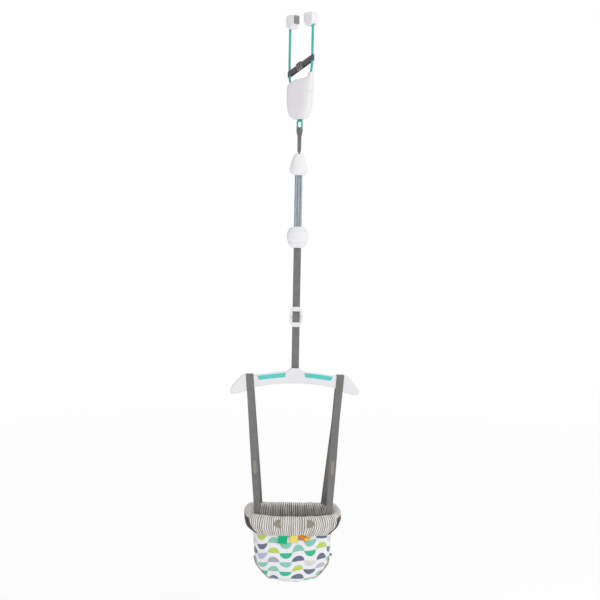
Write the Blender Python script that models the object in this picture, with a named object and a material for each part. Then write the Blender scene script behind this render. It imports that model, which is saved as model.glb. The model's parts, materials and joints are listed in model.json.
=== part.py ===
"""Baby doorway jumper, hanging from a clamp on the head of a doorway.

World axes: X runs along the wall, Y is the wall's normal with the viewer's side at -Y, Z is up.
The origin lies midway between the two pads' gripping faces, at the height of the pads' underside.
Everything below the hook is modelled in a frame of its own, turned about the hanging line: in it
x runs along the spreader bar and the seat faces -y.
"""

import math

import bmesh
import bpy
from mathutils import Vector

# Clearances and shared helpers' sizes
TOUCH_GAP = 0.0003
RUNNING_GAP = 0.0006
OVERRUN = 0.004
FINE_BEVEL = 0.0012

# How far the strap, spring unit, bar and seat are turned from the clamp, as they hang at rest
LOWER_TURN = math.radians(-37.5)

# Webbing
WEB_WIDTH = 0.024
WEB_THICK = 0.0014
WEB_LAYER_GAP = 0.0004

# Clamp arms and pads
ARM_RADIUS = 0.004
ARM_SPREAD = 0.0565
ARM_TOP_Z = 0.033
ARM_STRAIGHT = 0.112
PAD_WIDTH = 0.025
PAD_HEIGHT = 0.045
PAD_OUTER = 0.065
PAD_PIN_Z = 0.026
PAD_PIN_RADIUS = 0.0015
PAD_CORNER = 0.006
PAD_HEEL_RISE = 0.014
PAD_TOE_RISE = 0.008
PAD_SOLE = 0.010
PAD_SOLE_CENTRE = 0.045
PAD_TILT_ANGLE = math.radians(6)
JAW_HALF = 0.023
GRIP_THICK = 0.003
GRIP_MARGIN = 0.002

# Clamp housing
NECK_DROP = 0.146
NECK_SPREAD = 0.052
HOUSING_HEIGHT = 0.148
HOUSING_HALF_LENGTH = 0.060
HOUSING_HALF_THICK = 0.020
HOUSING_POWER = 2.8
HOUSING_SIDES = 24
WALL = 0.0025
MOUTH_HALF_LENGTH = 0.0222
MOUTH_HALF_WIDTH = 0.0055
FRONT_FOOT_Y = -0.0395
FRONT_FOOT_FLOOR = 0.0039
ARM_SHOULDER_Y = 0.0535
ARM_SHOULDER_DROP = 0.019
SCREW_SHANK_RADIUS = 0.0016
SCREW_HEAD_RADIUS = 0.0034
SCREW_HEAD_THICK = 0.0022
SCREW_BOSS_RADIUS = 0.0046
SCREW_SEAT_X = 0.008
SCREW_TIP_X = -0.012
SNAP_WIDTH = 0.003
SNAP_HEIGHT = 0.0022
SNAP_RISE = 0.086

# Lever of the rear arm, the pins inside the housing and the return spring
PIVOT_Y = 0.022
PIVOT_RISE = 0.0535
PIVOT_PIN_RADIUS = 0.003
ARM_OPEN_ANGLE = math.radians(20)
PIVOT_PIN_HALF = 0.0165
PIVOT_BOSS_RADIUS = 0.008
SHELL_BOSS_RADIUS = 0.006
LEVER_PRONG_RADIUS = 0.0022
LEVER_PRONG_X = 0.0065
LEVER_DROP_ANGLE = math.radians(35.8)
LEVER_TIP_Y = -0.003
HOOK_PIN_RADIUS = 0.003
HOOK_PIN_HALF = 0.0142
HOOK_LIFT = 0.0105
RIB_INNER_X = 0.0096
RIB_HALF_Y = 0.009
RIB_MARGIN_Z = 0.010
COIL_RADIUS = 0.0042
COIL_WIRE_RADIUS = 0.0006
COIL_TURNS = 3
COIL_PITCH = 0.0017
COIL_POINTS_PER_TURN = 10
COIL_LEG = 0.010

# Hook link
HOOK_THICK = 0.006
HOOK_EYE_RADIUS = 0.0082
HOOK_SHANK_HALF = 0.006
HOOK_HALF_WIDTH = 0.0135
HOOK_SLOT_HALF = 0.0105
HOOK_BAR_RADIUS = 0.0035
HOOK_BAR_DROP = 0.030
HOOK_SHOULDER_DROP = 0.004
HOOK_SLOT_HEIGHT = 0.0215
HOOK_CORNER = 0.0035

# Safety strap and its slide
SAFETY_WIDTH = 0.018
SAFETY_FRONT_Z = -0.101
SAFETY_REAR_Z = -0.1455
SAFETY_REAR_Y = 0.0553
SAFETY_INNER_RADIUS = 0.0052
SLIDE_LENGTH = 0.024
SLIDE_WIDTH = 0.0245
SLIDE_WALL = 0.002

# Hook strap
HOOK_STRAP_LENGTH = 0.078
HOOK_STRAP_LOOP_WIDTH = 0.020
SEWN_THICK = 0.003

# Upper cap
UPPER_CAP_WIDTH = 0.057
UPPER_CAP_DEPTH = 0.050
UPPER_CAP_HEIGHT = 0.072
CAP_POWER = 2.4
CAP_SIDES = 24
CAP_PIN_RADIUS = 0.0025
UPPER_PIN_HALF = 0.015
UPPER_PIN_DROP = 0.030
PLATE_WIDTH = 0.034
PLATE_DEPTH = 0.012
PLATE_THICK = 0.003
PLATE_INSET = 0.022
CAP_SCREW_X = 0.0205
CAP_SCREW_HEAD_Y = 0.006
CAP_SCREW_TIP_Y = -0.007
CAP_SCREW_BORE = 0.0024

# Springs
SPRING_SHOWN = 0.164
SPRING_COUNT = 3
SPRING_PITCH_X = 0.0084
SPRING_RADIUS = 0.0031
SPRING_WIRE_RADIUS = 0.0009
SPRING_TURNS = 16
SPRING_POINTS_PER_TURN = 8
SPRING_STUB = 0.004
SPRING_ROOM = 0.0012

# Lower cap
LOWER_CAP_WIDTH = 0.070
LOWER_CAP_DEPTH = 0.056
LOWER_CAP_HEIGHT = 0.069
LOWER_PIN_HALF = 0.0155
LOWER_PIN_RISE = 0.020
LOWER_SCREW_X = 0.0235

# Height strap and its slide adjuster
HEIGHT_STRAP_LENGTH = 0.386
HEIGHT_TAIL = 0.045
ADJUSTER_DROP = 0.222
ADJUSTER_WIDTH = 0.042
ADJUSTER_HEIGHT = 0.066
ADJUSTER_THICK = 0.005
ADJUSTER_WINDOW_WIDTH = 0.027
ADJUSTER_WINDOW_HEIGHT = 0.040
ADJUSTER_CORNER = 0.008
ADJUSTER_BAR_RADIUS = 0.0025

# Spreader bar
BAR_HALF_LENGTH = 0.207
BAR_THICK = 0.022
BAR_HEIGHT = 0.049
HUB_HALF_WIDTH = 0.027
HUB_PIN_RADIUS = 0.003
HUB_PIN_HALF = 0.0178
HUB_PIN_DROP = 0.014
HUB_SLOT_HALF_DEPTH = 0.0066
BAR_EDGE = 0.003
STRAP_PLACE_X = 0.1455
INSET_START_X = 0.030
INSET_END_X = 0.121
INSET_HEIGHT = 0.013
INSET_BELOW_EDGE = 0.0036
INSET_DEEP = 0.0016
INSET_PROUD = 0.0005
BAR_STEPS = 9

# Seat straps
SEAT_STRAP_DROP = 0.447
SEWN_START_DROP = 0.152
SEWN_END_DROP = 0.181
FRONT_LEG_X = 0.1135
REAR_LEG_X = 0.107
LEG_TUCK = 0.028
LEG_STEPS = 10
TAG_WIDTH = 0.011
TAG_LENGTH = 0.041
TAG_DROP = 0.293
TAG_THICK = 0.0006

# Seat collar
SEAT_HEIGHT = 0.232
COLLAR_HALF_WIDTH = 0.1545
COLLAR_HALF_DEPTH = 0.0975
COLLAR_HEIGHT = 0.0655
COLLAR_POWER = 4.6
COLLAR_SIDES = 36

# Seat bag
BAG_HALF_WIDTH = 0.1255
BAG_HALF_DEPTH = 0.091
BAG_THICK = 0.003
BAG_SIDES = 32
LEG_HOLE_WIDE = 0.045
LEG_HOLE_DEEP = 0.048
LEG_HOLE_X = 0.094
LEG_HOLE_RISE = 0.036
LEG_CUT_IN = 0.0377
LEG_CUT_OUT = 0.0753
LEG_HOLE_ANGLE = math.radians(48)
BINDING_RADIUS = 0.003
BINDING_POINTS = 24

# Trim on the seat
TAB_THICK = 0.0012
TAB_LENGTH = 0.025
TAB_SEAT_Y = 0.0893
TOY_LOOP_WIDTH = 0.020
TOY_LOOP_LENGTH = 0.022
TOY_LOOP_DROP = 0.023
TOY_LOOP_LEFT_X = -0.050
TOY_LOOP_RIGHT_X = 0.0525
GREEN_TAB_X = -0.0335
YELLOW_TAB_X = 0.003
ORANGE_TAB_X = 0.0385
GREEN_TAB_WIDTH = 0.028
YELLOW_TAB_WIDTH = 0.025
ORANGE_TAB_WIDTH = 0.036
SIDE_TAB_LENGTH = 0.007
SIDE_TAB_HEIGHT = 0.009
SIDE_TAB_RISE = 0.080

# Levels that follow from the lengths above
NECK_TOP_Z = -NECK_DROP
HOUSING_BOTTOM_Z = NECK_TOP_Z - HOUSING_HEIGHT
PIVOT_Z = HOUSING_BOTTOM_Z + PIVOT_RISE
PAD_TILT_ROOM = PAD_PIN_Z * math.tan(PAD_TILT_ANGLE) + TOUCH_GAP
PIN_OFFSET = (LEVER_PRONG_RADIUS + HOOK_PIN_RADIUS + TOUCH_GAP) / math.cos(LEVER_DROP_ANGLE)
HOOK_PIN_Z = PIVOT_Z - PIVOT_Y * math.tan(LEVER_DROP_ANGLE) + PIN_OFFSET
HOOK_BAR_Z = HOUSING_BOTTOM_Z - HOOK_BAR_DROP
UPPER_CAP_TOP_Z = HOOK_BAR_Z - HOOK_STRAP_LENGTH
UPPER_PIN_Z = UPPER_CAP_TOP_Z - UPPER_PIN_DROP
UPPER_CAP_BOTTOM_Z = UPPER_CAP_TOP_Z - UPPER_CAP_HEIGHT
UPPER_PLATE_Z = UPPER_CAP_BOTTOM_Z + PLATE_INSET
LOWER_CAP_TOP_Z = UPPER_CAP_BOTTOM_Z - SPRING_SHOWN
LOWER_PLATE_Z = LOWER_CAP_TOP_Z - PLATE_INSET
LOWER_CAP_BOTTOM_Z = LOWER_CAP_TOP_Z - LOWER_CAP_HEIGHT
LOWER_PIN_Z = LOWER_CAP_BOTTOM_Z + LOWER_PIN_RISE
ADJUSTER_Z = LOWER_CAP_BOTTOM_Z - ADJUSTER_DROP
HUB_TOP_Z = LOWER_CAP_BOTTOM_Z - HEIGHT_STRAP_LENGTH
HUB_PIN_Z = HUB_TOP_Z - HUB_PIN_DROP
RIM_Z = HUB_TOP_Z - SEAT_STRAP_DROP
SEAT_BOTTOM_Z = RIM_Z - SEAT_HEIGHT

# Webbing loops: radius of the middle of a layer that goes round a pin or bar
LAYER_OFF_PIN = TOUCH_GAP + WEB_THICK / 2
LAYER_Y = (WEB_THICK + WEB_LAYER_GAP) / 2


# Materials


def material(name, colour, roughness, metallic=0.0):
    made = bpy.data.materials.new(name)
    made.use_nodes = True
    shader = made.node_tree.nodes["Principled BSDF"]
    shader.inputs["Base Color"].default_value = (*colour, 1.0)
    shader.inputs["Roughness"].default_value = roughness
    shader.inputs["Metallic"].default_value = metallic
    return made


# Frames: each moving piece hangs on an empty that stands on its joint's axis


class Pivot:
    """An empty at a joint's axis; pieces put on it keep their shape in world coordinates."""

    def __init__(self, name, place, parent=None, turn=0.0):
        self.place = Vector(place)
        self.turn = turn
        self.empty = bpy.data.objects.new(name, None)
        bpy.context.scene.collection.objects.link(self.empty)
        if parent is not None:
            self.empty.parent = parent.empty
            self.empty.location = self.place - parent.place
        else:
            self.empty.location = self.place

    def carry(self, piece):
        piece.parent = self.empty
        piece.location = -self.place
        piece.rotation_euler = (0, 0, self.turn)
        return piece


# Mesh building


def link(name, mesh, skin=None):
    piece = bpy.data.objects.new(name, mesh)
    bpy.context.scene.collection.objects.link(piece)
    if skin is not None:
        mesh.materials.append(skin)
    return piece


def closed_mesh(name, points, faces, smooth_angle=math.radians(35)):
    """A mesh whose faces point out, with its round stretches shaded smooth."""
    mesh = bpy.data.meshes.new(name)
    mesh.from_pydata([tuple(p) for p in points], [], faces)
    shape = bmesh.new()
    shape.from_mesh(mesh)
    bmesh.ops.recalc_face_normals(shape, faces=shape.faces)
    shape.to_mesh(mesh)
    shape.free()
    mesh.shade_smooth()
    mesh.set_sharp_from_angle(angle=smooth_angle)
    return mesh


def band(name, rings):
    """Skin over four-point rings of a thin band; both wide faces split along the same diagonal."""
    points = [p for ring in rings for p in ring]
    faces = []
    for r in range(len(rings) - 1):
        a, b, c, d = range(4 * r, 4 * r + 4)
        e, f, g, h = range(4 * r + 4, 4 * r + 8)
        faces += [(a, b, f), (a, f, e), (c, d, g), (d, h, g), (b, c, g, f), (d, a, e, h)]
    last = len(points)
    faces += [(3, 2, 1, 0), (last - 4, last - 3, last - 2, last - 1)]
    return closed_mesh(name, points, faces)


def loft(name, rings, ring_closed=False):
    """Skin over rings of equal count: capped at both ends, or closed on itself."""
    count = len(rings[0])
    points = [p for ring in rings for p in ring]
    faces = []
    spans = len(rings) if ring_closed else len(rings) - 1
    for r in range(spans):
        here, there = r * count, (r + 1) % len(rings) * count
        for i in range(count):
            j = (i + 1) % count
            faces.append((here + i, here + j, there + j, there + i))
    if not ring_closed:
        faces.append(tuple(range(count - 1, -1, -1)))
        faces.append(tuple(range((len(rings) - 1) * count, len(rings) * count)))
    return closed_mesh(name, points, faces)


def oval(half_x, half_y, z, sides, power, centre_y=0.0):
    """A level superellipse, from a circle at power 2 towards a rectangle."""
    ring = []
    for i in range(sides):
        angle = 2 * math.pi * i / sides
        c, s = math.cos(angle), math.sin(angle)
        x = half_x * math.copysign(abs(c) ** (2 / power), c)
        y = half_y * math.copysign(abs(s) ** (2 / power), s)
        ring.append(Vector((x, centre_y + y, z)))
    return ring


def rounded(corners, radius, steps=4):
    """A polygon with its corners rounded by arcs of one radius."""
    outline = []
    count = len(corners)
    for i, corner in enumerate(corners):
        here = Vector(corner)
        before = (Vector(corners[i - 1]) - here).normalized()
        after = (Vector(corners[(i + 1) % count]) - here).normalized()
        half = before.angle(after) / 2
        bisector = (before + after).normalized()
        centre = here + bisector * (radius / math.sin(half))
        start = here + before * (radius / math.tan(half)) - centre
        turn = math.pi - 2 * half
        side = 1 if before.x * after.y - before.y * after.x < 0 else -1
        for k in range(steps + 1):
            a = side * turn * k / steps
            outline.append(
                (
                    centre.x + start.x * math.cos(a) - start.y * math.sin(a),
                    centre.y + start.x * math.sin(a) + start.y * math.cos(a),
                )
            )
    return outline


def prism(name, outline, low, high, axis="X"):
    """An outline pulled straight along an axis: its pairs are the two axes that are left, in order."""
    def place(depth, pair):
        if axis == "X":
            return Vector((depth, pair[0], pair[1]))
        if axis == "Y":
            return Vector((pair[0], depth, pair[1]))
        return Vector((pair[0], pair[1], depth))
    return loft(name, [[place(d, p) for p in outline] for d in (low, high)])


def rod(name, path, radius, sides=10, across=Vector((1, 0, 0))):
    """A round bar along a path of points that keeps to the plane square to across."""
    rings = []
    for i, point in enumerate(path):
        ahead = path[min(i + 1, len(path) - 1)]
        behind = path[max(i - 1, 0)]
        along = (ahead - behind).normalized()
        up = along.cross(across).normalized()
        side = up.cross(along).normalized()
        ring = []
        for k in range(sides):
            a = 2 * math.pi * k / sides
            ring.append(point + radius * (math.cos(a) * side + math.sin(a) * up))
        rings.append(ring)
    return loft(name, rings)


def cylinder(name, start, end, radius, sides=14):
    start, end = Vector(start), Vector(end)
    along = (end - start).normalized()
    across = Vector((0, 0, 1)) if abs(along.z) < abs(along.x) + abs(along.y) else Vector((1, 0, 0))
    return rod(name, [start, end], radius, sides, (across - along * across.dot(along)).normalized())


def smooth_path(knots, steps=3):
    """Points on a Catmull-Rom curve through the knots."""
    knots = [Vector(k) for k in knots]
    path = []
    for i in range(len(knots) - 1):
        a, b, c, d = knots[max(i - 1, 0)], knots[i], knots[i + 1], knots[min(i + 2, len(knots) - 1)]
        for k in range(steps):
            t = k / steps
            path.append(
                (b * 2 + (c - a) * t + (a * 2 - b * 5 + c * 4 - d) * t * t
                 + (b * 3 - a - c * 3 + d) * t * t * t) / 2
            )
    path.append(knots[-1])
    return path


def ribbon(name, path, sides, width, thick):
    """A flat band along a path; sides gives the direction of its width at each point."""
    rings = []
    for i, point in enumerate(path):
        ahead = path[min(i + 1, len(path) - 1)]
        behind = path[max(i - 1, 0)]
        along = (ahead - behind).normalized()
        side = (sides[i] - along * sides[i].dot(along)).normalized()
        face = along.cross(side).normalized()
        stretch = 1.0
        if 0 < i < len(path) - 1:
            bend = (ahead - point).normalized().dot((point - behind).normalized())
            stretch = 1 / max(math.sqrt((1 + bend) / 2), 0.7)
        half_side = side * (width / 2)
        half_face = face * (thick / 2 * stretch)
        rings.append(
            [
                point - half_side - half_face,
                point + half_side - half_face,
                point + half_side + half_face,
                point - half_side + half_face,
            ]
        )
    return band(name, rings)


def arc(centre, radius, start, end, steps):
    """Points (y, z) on an arc in the YZ plane, angles measured from +y towards +z."""
    points = []
    for k in range(steps + 1):
        a = start + (end - start) * k / steps
        points.append((centre[0] + radius * math.cos(a), centre[1] + radius * math.sin(a)))
    return points


def blunt(piece, width, segments=1):
    """Rounds a piece's sharp edges."""
    bevel = piece.modifiers.new("edges", "BEVEL")
    bevel.width = width
    bevel.segments = segments
    bevel.limit_method = "ANGLE"
    bevel.angle_limit = math.radians(50)
    return piece


def tool(mesh, turn=0.0):
    """An unseen shape that cuts, or joins, other pieces."""
    piece = link(mesh.name, mesh)
    piece.rotation_euler = (0, 0, turn)
    piece.hide_render = True
    piece.display_type = "WIRE"
    return piece


def shape(piece, other, how="DIFFERENCE"):
    modifier = piece.modifiers.new(other.name, "BOOLEAN")
    modifier.operation = how
    modifier.object = other
    modifier.solver = "EXACT"
    return piece


def box(name, low, high):
    outline = [(low[1], low[2]), (high[1], low[2]), (high[1], high[2]), (low[1], high[2])]
    return prism(name, outline, low[0], high[0])


def clear_scene():
    for piece in list(bpy.data.objects):
        bpy.data.objects.remove(piece, do_unlink=True)


# Clamp: arms, pads and their pins


def front_arm_path():
    return smooth_path(
        [
            (0, -ARM_SPREAD, ARM_TOP_Z),
            (0, -ARM_SPREAD, -ARM_STRAIGHT / 2),
            (0, -ARM_SPREAD, -ARM_STRAIGHT),
            (0, -NECK_SPREAD, NECK_TOP_Z),
            (0, -NECK_SPREAD, NECK_TOP_Z - HOUSING_HEIGHT / 4),
            (0, FRONT_FOOT_Y, foot_block_levels()[0] + FRONT_FOOT_FLOOR),
        ]
    )


def rear_arm_path():
    shoulder_z = NECK_TOP_Z - ARM_SHOULDER_DROP
    return smooth_path(
        [
            (0, ARM_SPREAD, ARM_TOP_Z),
            (0, ARM_SPREAD, -ARM_STRAIGHT / 2),
            (0, ARM_SPREAD, -ARM_STRAIGHT),
            (0, ARM_SHOULDER_Y, shoulder_z),
            (0, (ARM_SHOULDER_Y + PIVOT_Y) / 2, (shoulder_z + PIVOT_Z) / 2),
            (0, PIVOT_Y, PIVOT_Z),
        ]
    )


def pad_pin_hole(name, side):
    y = side * ARM_SPREAD
    reach = PAD_WIDTH / 2 + OVERRUN
    return tool(
        cylinder(name, (-reach, y, PAD_PIN_Z), (reach, y, PAD_PIN_Z), PAD_PIN_RADIUS + TOUCH_GAP, 12)
    )


def make_front_arm(on, skin):
    piece = link("front_arm", rod("front_arm", front_arm_path(), ARM_RADIUS), skin)
    shape(piece, pad_pin_hole("front_arm_pin_hole", -1))
    on.carry(piece)


def make_rear_arm(on, skin):
    """The swinging rod, with a boss on the pivot pin and two lever prongs under the hook pin."""
    piece = link("rear_arm", rod("rear_arm", rear_arm_path(), ARM_RADIUS), skin)
    reach = LEVER_PRONG_X + LEVER_PRONG_RADIUS
    boss = cylinder(
        "rear_arm_boss", (-reach, PIVOT_Y, PIVOT_Z), (reach, PIVOT_Y, PIVOT_Z), PIVOT_BOSS_RADIUS
    )
    shape(piece, tool(boss), "UNION")
    tip_z = PIVOT_Z - (PIVOT_Y - LEVER_TIP_Y) * math.tan(LEVER_DROP_ANGLE)
    for side in (-1, 1):
        x = side * LEVER_PRONG_X
        prong = cylinder(
            f"lever_prong_{side}", (x, PIVOT_Y, PIVOT_Z), (x, LEVER_TIP_Y, tip_z), LEVER_PRONG_RADIUS, 10
        )
        shape(piece, tool(prong), "UNION")
    bore_reach = reach + OVERRUN
    bore = cylinder(
        "rear_arm_bore",
        (-bore_reach, PIVOT_Y, PIVOT_Z),
        (bore_reach, PIVOT_Y, PIVOT_Z),
        PIVOT_PIN_RADIUS + TOUCH_GAP,
    )
    shape(piece, tool(bore))
    shape(piece, pad_pin_hole("rear_arm_pin_hole", 1))
    on.carry(piece)


def make_pad(on, side, label, skin, grip_skin):
    """A pad whose sole rests on the casing's top edge; it rocks on a pin through the rod's end."""
    inner = JAW_HALF + GRIP_THICK + TOUCH_GAP
    sole_in = PAD_SOLE_CENTRE - PAD_SOLE / 2
    sole_out = PAD_SOLE_CENTRE + PAD_SOLE / 2
    corners = [
        (side * inner, PAD_HEEL_RISE),
        (side * sole_in, 0.0),
        (side * sole_out, 0.0),
        (side * PAD_OUTER, PAD_TOE_RISE),
        (side * PAD_OUTER, PAD_HEIGHT),
        (side * inner, PAD_HEIGHT),
    ]
    piece = link(f"{label}_pad", prism(f"{label}_pad", pad_outline(corners), -PAD_WIDTH / 2, PAD_WIDTH / 2), skin)
    blunt(piece, FINE_BEVEL)
    room = ARM_RADIUS + PAD_TILT_ROOM
    slot = box(
        f"{label}_pad_slot",
        (-ARM_RADIUS - RUNNING_GAP, side * ARM_SPREAD - room, -OVERRUN),
        (ARM_RADIUS + RUNNING_GAP, side * ARM_SPREAD + room, ARM_TOP_Z + PAD_TILT_ROOM),
    )
    shape(piece, tool(slot))
    shape(piece, pad_pin_hole(f"{label}_pad_pin_hole", side))
    on.carry(piece)
    low = (-PAD_WIDTH / 2 + GRIP_MARGIN, min(side * JAW_HALF, side * (inner - TOUCH_GAP)),
           PAD_HEEL_RISE + GRIP_MARGIN)
    high = (PAD_WIDTH / 2 - GRIP_MARGIN, max(side * JAW_HALF, side * (inner - TOUCH_GAP)),
            PAD_HEIGHT - GRIP_MARGIN)
    grip = link(f"{label}_pad_grip", box(f"{label}_pad_grip", low, high), grip_skin)
    on.carry(blunt(grip, FINE_BEVEL / 2))


def pad_outline(corners):
    """The pad's side outline: crisp at the sole, rounded at its two top corners."""
    top = []
    for corner, step in ((corners[4], -1), (corners[5], 1)):
        y, z = corner
        side = 1 if y > 0 else -1
        centre_y = y + side * step * PAD_CORNER
        for k in range(5):
            a = math.pi / 2 * k / 4
            if step < 0:
                top.append(
                    (centre_y + side * PAD_CORNER * math.cos(a), z - PAD_CORNER + PAD_CORNER * math.sin(a))
                )
            else:
                top.append(
                    (centre_y - side * PAD_CORNER * math.sin(a), z - PAD_CORNER + PAD_CORNER * math.cos(a))
                )
    return corners[:4] + top


def make_pad_pin(on, side, label, skin):
    y = side * ARM_SPREAD
    half = PAD_WIDTH / 2 - GRIP_MARGIN
    mesh = cylinder(f"{label}_pad_pin", (-half, y, PAD_PIN_Z), (half, y, PAD_PIN_Z), PAD_PIN_RADIUS, 12)
    on.carry(link(f"{label}_pad_pin", mesh, skin))


# Clamp housing

# Height above the bottom, front end, rear end and half thickness of each level
HOUSING_LEVEL_SHARES = (
    (0.000, 0.40, 0.44, 0.60),
    (0.020, 0.52, 0.57, 0.74),
    (0.075, 0.68, 0.73, 0.86),
    (0.175, 0.82, 0.88, 0.95),
    (0.320, 0.92, 0.97, 1.00),
    (0.500, 0.96, 1.00, 1.00),
    (0.660, 0.985, 0.99, 0.99),
    (0.755, 1.00, 0.94, 0.95),
    (0.815, 1.01, 0.74, 0.88),
    (0.860, 1.015, 0.38, 0.76),
    (0.885, 1.02, -0.36, 0.62),
    (0.905, 1.02, -0.66, 0.52),
    (0.940, 1.02, -0.71, 0.475),
    (0.985, 1.02, -0.71, 0.475),
    (1.000, 1.00, -0.73, 0.43),
)

# The same four for the hollow inside, which stops below the neck
CAVITY_LEVEL_SHARES = (
    (0.018, 0.40, 0.46, 0.58),
    (0.085, 0.63, 0.68, 0.72),
    (0.190, 0.77, 0.83, 0.82),
    (0.330, 0.87, 0.92, 0.87),
    (0.500, 0.915, 0.955, 0.87),
    (0.650, 0.94, 0.94, 0.86),
    (0.735, 0.95, 0.86, 0.81),
    (0.790, 0.95, 0.62, 0.72),
    (0.835, 0.95, 0.20, 0.58),
)

# Where the screws stand: along the housing's length, and up its height
SCREW_PLACE_SHARES = ((-0.30, 0.735), (0.68, 0.245), (-0.37, 0.160))


def housing_rings(level_shares, sides):
    rings = []
    for height, front, rear, thick in level_shares:
        front_y = -HOUSING_HALF_LENGTH * front
        rear_y = HOUSING_HALF_LENGTH * rear
        rings.append(
            oval(
                HOUSING_HALF_THICK * thick,
                (rear_y - front_y) / 2,
                HOUSING_BOTTOM_Z + HOUSING_HEIGHT * height,
                sides,
                HOUSING_POWER,
                (rear_y + front_y) / 2,
            )
        )
    return rings


def foot_block_levels():
    """Bottom and top of the block that the front rod stands in: two levels of the hollow."""
    return [HOUSING_BOTTOM_Z + HOUSING_HEIGHT * CAVITY_LEVEL_SHARES[k][0] for k in (2, 3)]


def screw_places():
    return [
        (HOUSING_HALF_LENGTH * along, HOUSING_BOTTOM_Z + HOUSING_HEIGHT * up)
        for along, up in SCREW_PLACE_SHARES
    ]


def housing_cavity():
    """The hollow, less the bosses and ribs that stand in it."""
    cavity = tool(loft("housing_cavity", housing_rings(CAVITY_LEVEL_SHARES, HOUSING_SIDES - 8)))
    far = HOUSING_HALF_THICK
    for side in (-1, 1):
        inner = side * RIB_INNER_X
        rib = box(
            f"pin_rib_{side}",
            (min(inner, side * far), -RIB_HALF_Y, HOOK_PIN_Z - HOOK_PIN_RADIUS - RIB_MARGIN_Z / 2),
            (max(inner, side * far), RIB_HALF_Y, HOOK_PIN_Z + HOOK_PIN_RADIUS + HOOK_LIFT + RIB_MARGIN_Z),
        )
        shape(cavity, tool(rib))
    boss_start = LEVER_PRONG_X + LEVER_PRONG_RADIUS + RUNNING_GAP
    coil_room = COIL_TURNS * COIL_PITCH + 2 * COIL_WIRE_RADIUS + 2 * RUNNING_GAP
    for label, start, end in (("left", -boss_start, -far), ("right", boss_start + coil_room, far)):
        boss = cylinder(
            f"pivot_boss_{label}", (start, PIVOT_Y, PIVOT_Z), (end, PIVOT_Y, PIVOT_Z), SHELL_BOSS_RADIUS, 16
        )
        shape(cavity, tool(boss))
    for i, (y, z) in enumerate(screw_places()):
        boss = cylinder(f"screw_boss_{i}", (-far, y, z), (far, y, z), SCREW_BOSS_RADIUS, 14)
        shape(cavity, tool(boss))
    low, high = foot_block_levels()
    foot = box(
        "front_foot_block",
        (-2 * ARM_RADIUS, -HOUSING_HALF_LENGTH, low),
        (2 * ARM_RADIUS, FRONT_FOOT_Y + 2 * ARM_RADIUS, high),
    )
    shape(cavity, tool(foot))
    return cavity


def arm_slot():
    """The room the rear arm sweeps through the housing, from rest to fully open."""
    half = ARM_RADIUS + RUNNING_GAP
    room = ARM_RADIUS + RUNNING_GAP
    rest, opened = [], []
    path = list(reversed(rear_arm_path()))
    c, s = math.cos(ARM_OPEN_ANGLE), math.sin(ARM_OPEN_ANGLE)
    for here, ahead in zip(path, path[1:]):
        if here.z > NECK_TOP_Z + ARM_RADIUS:
            break
        along = (ahead - here).normalized()
        left = here + Vector((0, -along.z, along.y)) * room - path[0]
        right = here - Vector((0, -along.z, along.y)) * room - path[0]
        rest.append((PIVOT_Y + left.y, PIVOT_Z + left.z))
        opened.append((PIVOT_Y + right.y * c + right.z * s, PIVOT_Z - right.y * s + right.z * c))
    return tool(prism("arm_slot", rest + list(reversed(opened)), -half, half))


def screw_mesh(name, place, seat, tip, head_out):
    """A pan-head screw along X at place (y, z): its head bears at seat and its shank ends at tip."""
    y, z = place
    rings = []
    for x, radius in (
        (tip, SCREW_SHANK_RADIUS),
        (seat, SCREW_SHANK_RADIUS),
        (seat, SCREW_HEAD_RADIUS),
        (head_out, SCREW_HEAD_RADIUS),
    ):
        ring = []
        for k in range(12):
            a = 2 * math.pi * k / 12
            ring.append(Vector((x, y + radius * math.cos(a), z + radius * math.sin(a))))
        rings.append(ring)
    return loft(name, rings)


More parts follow.
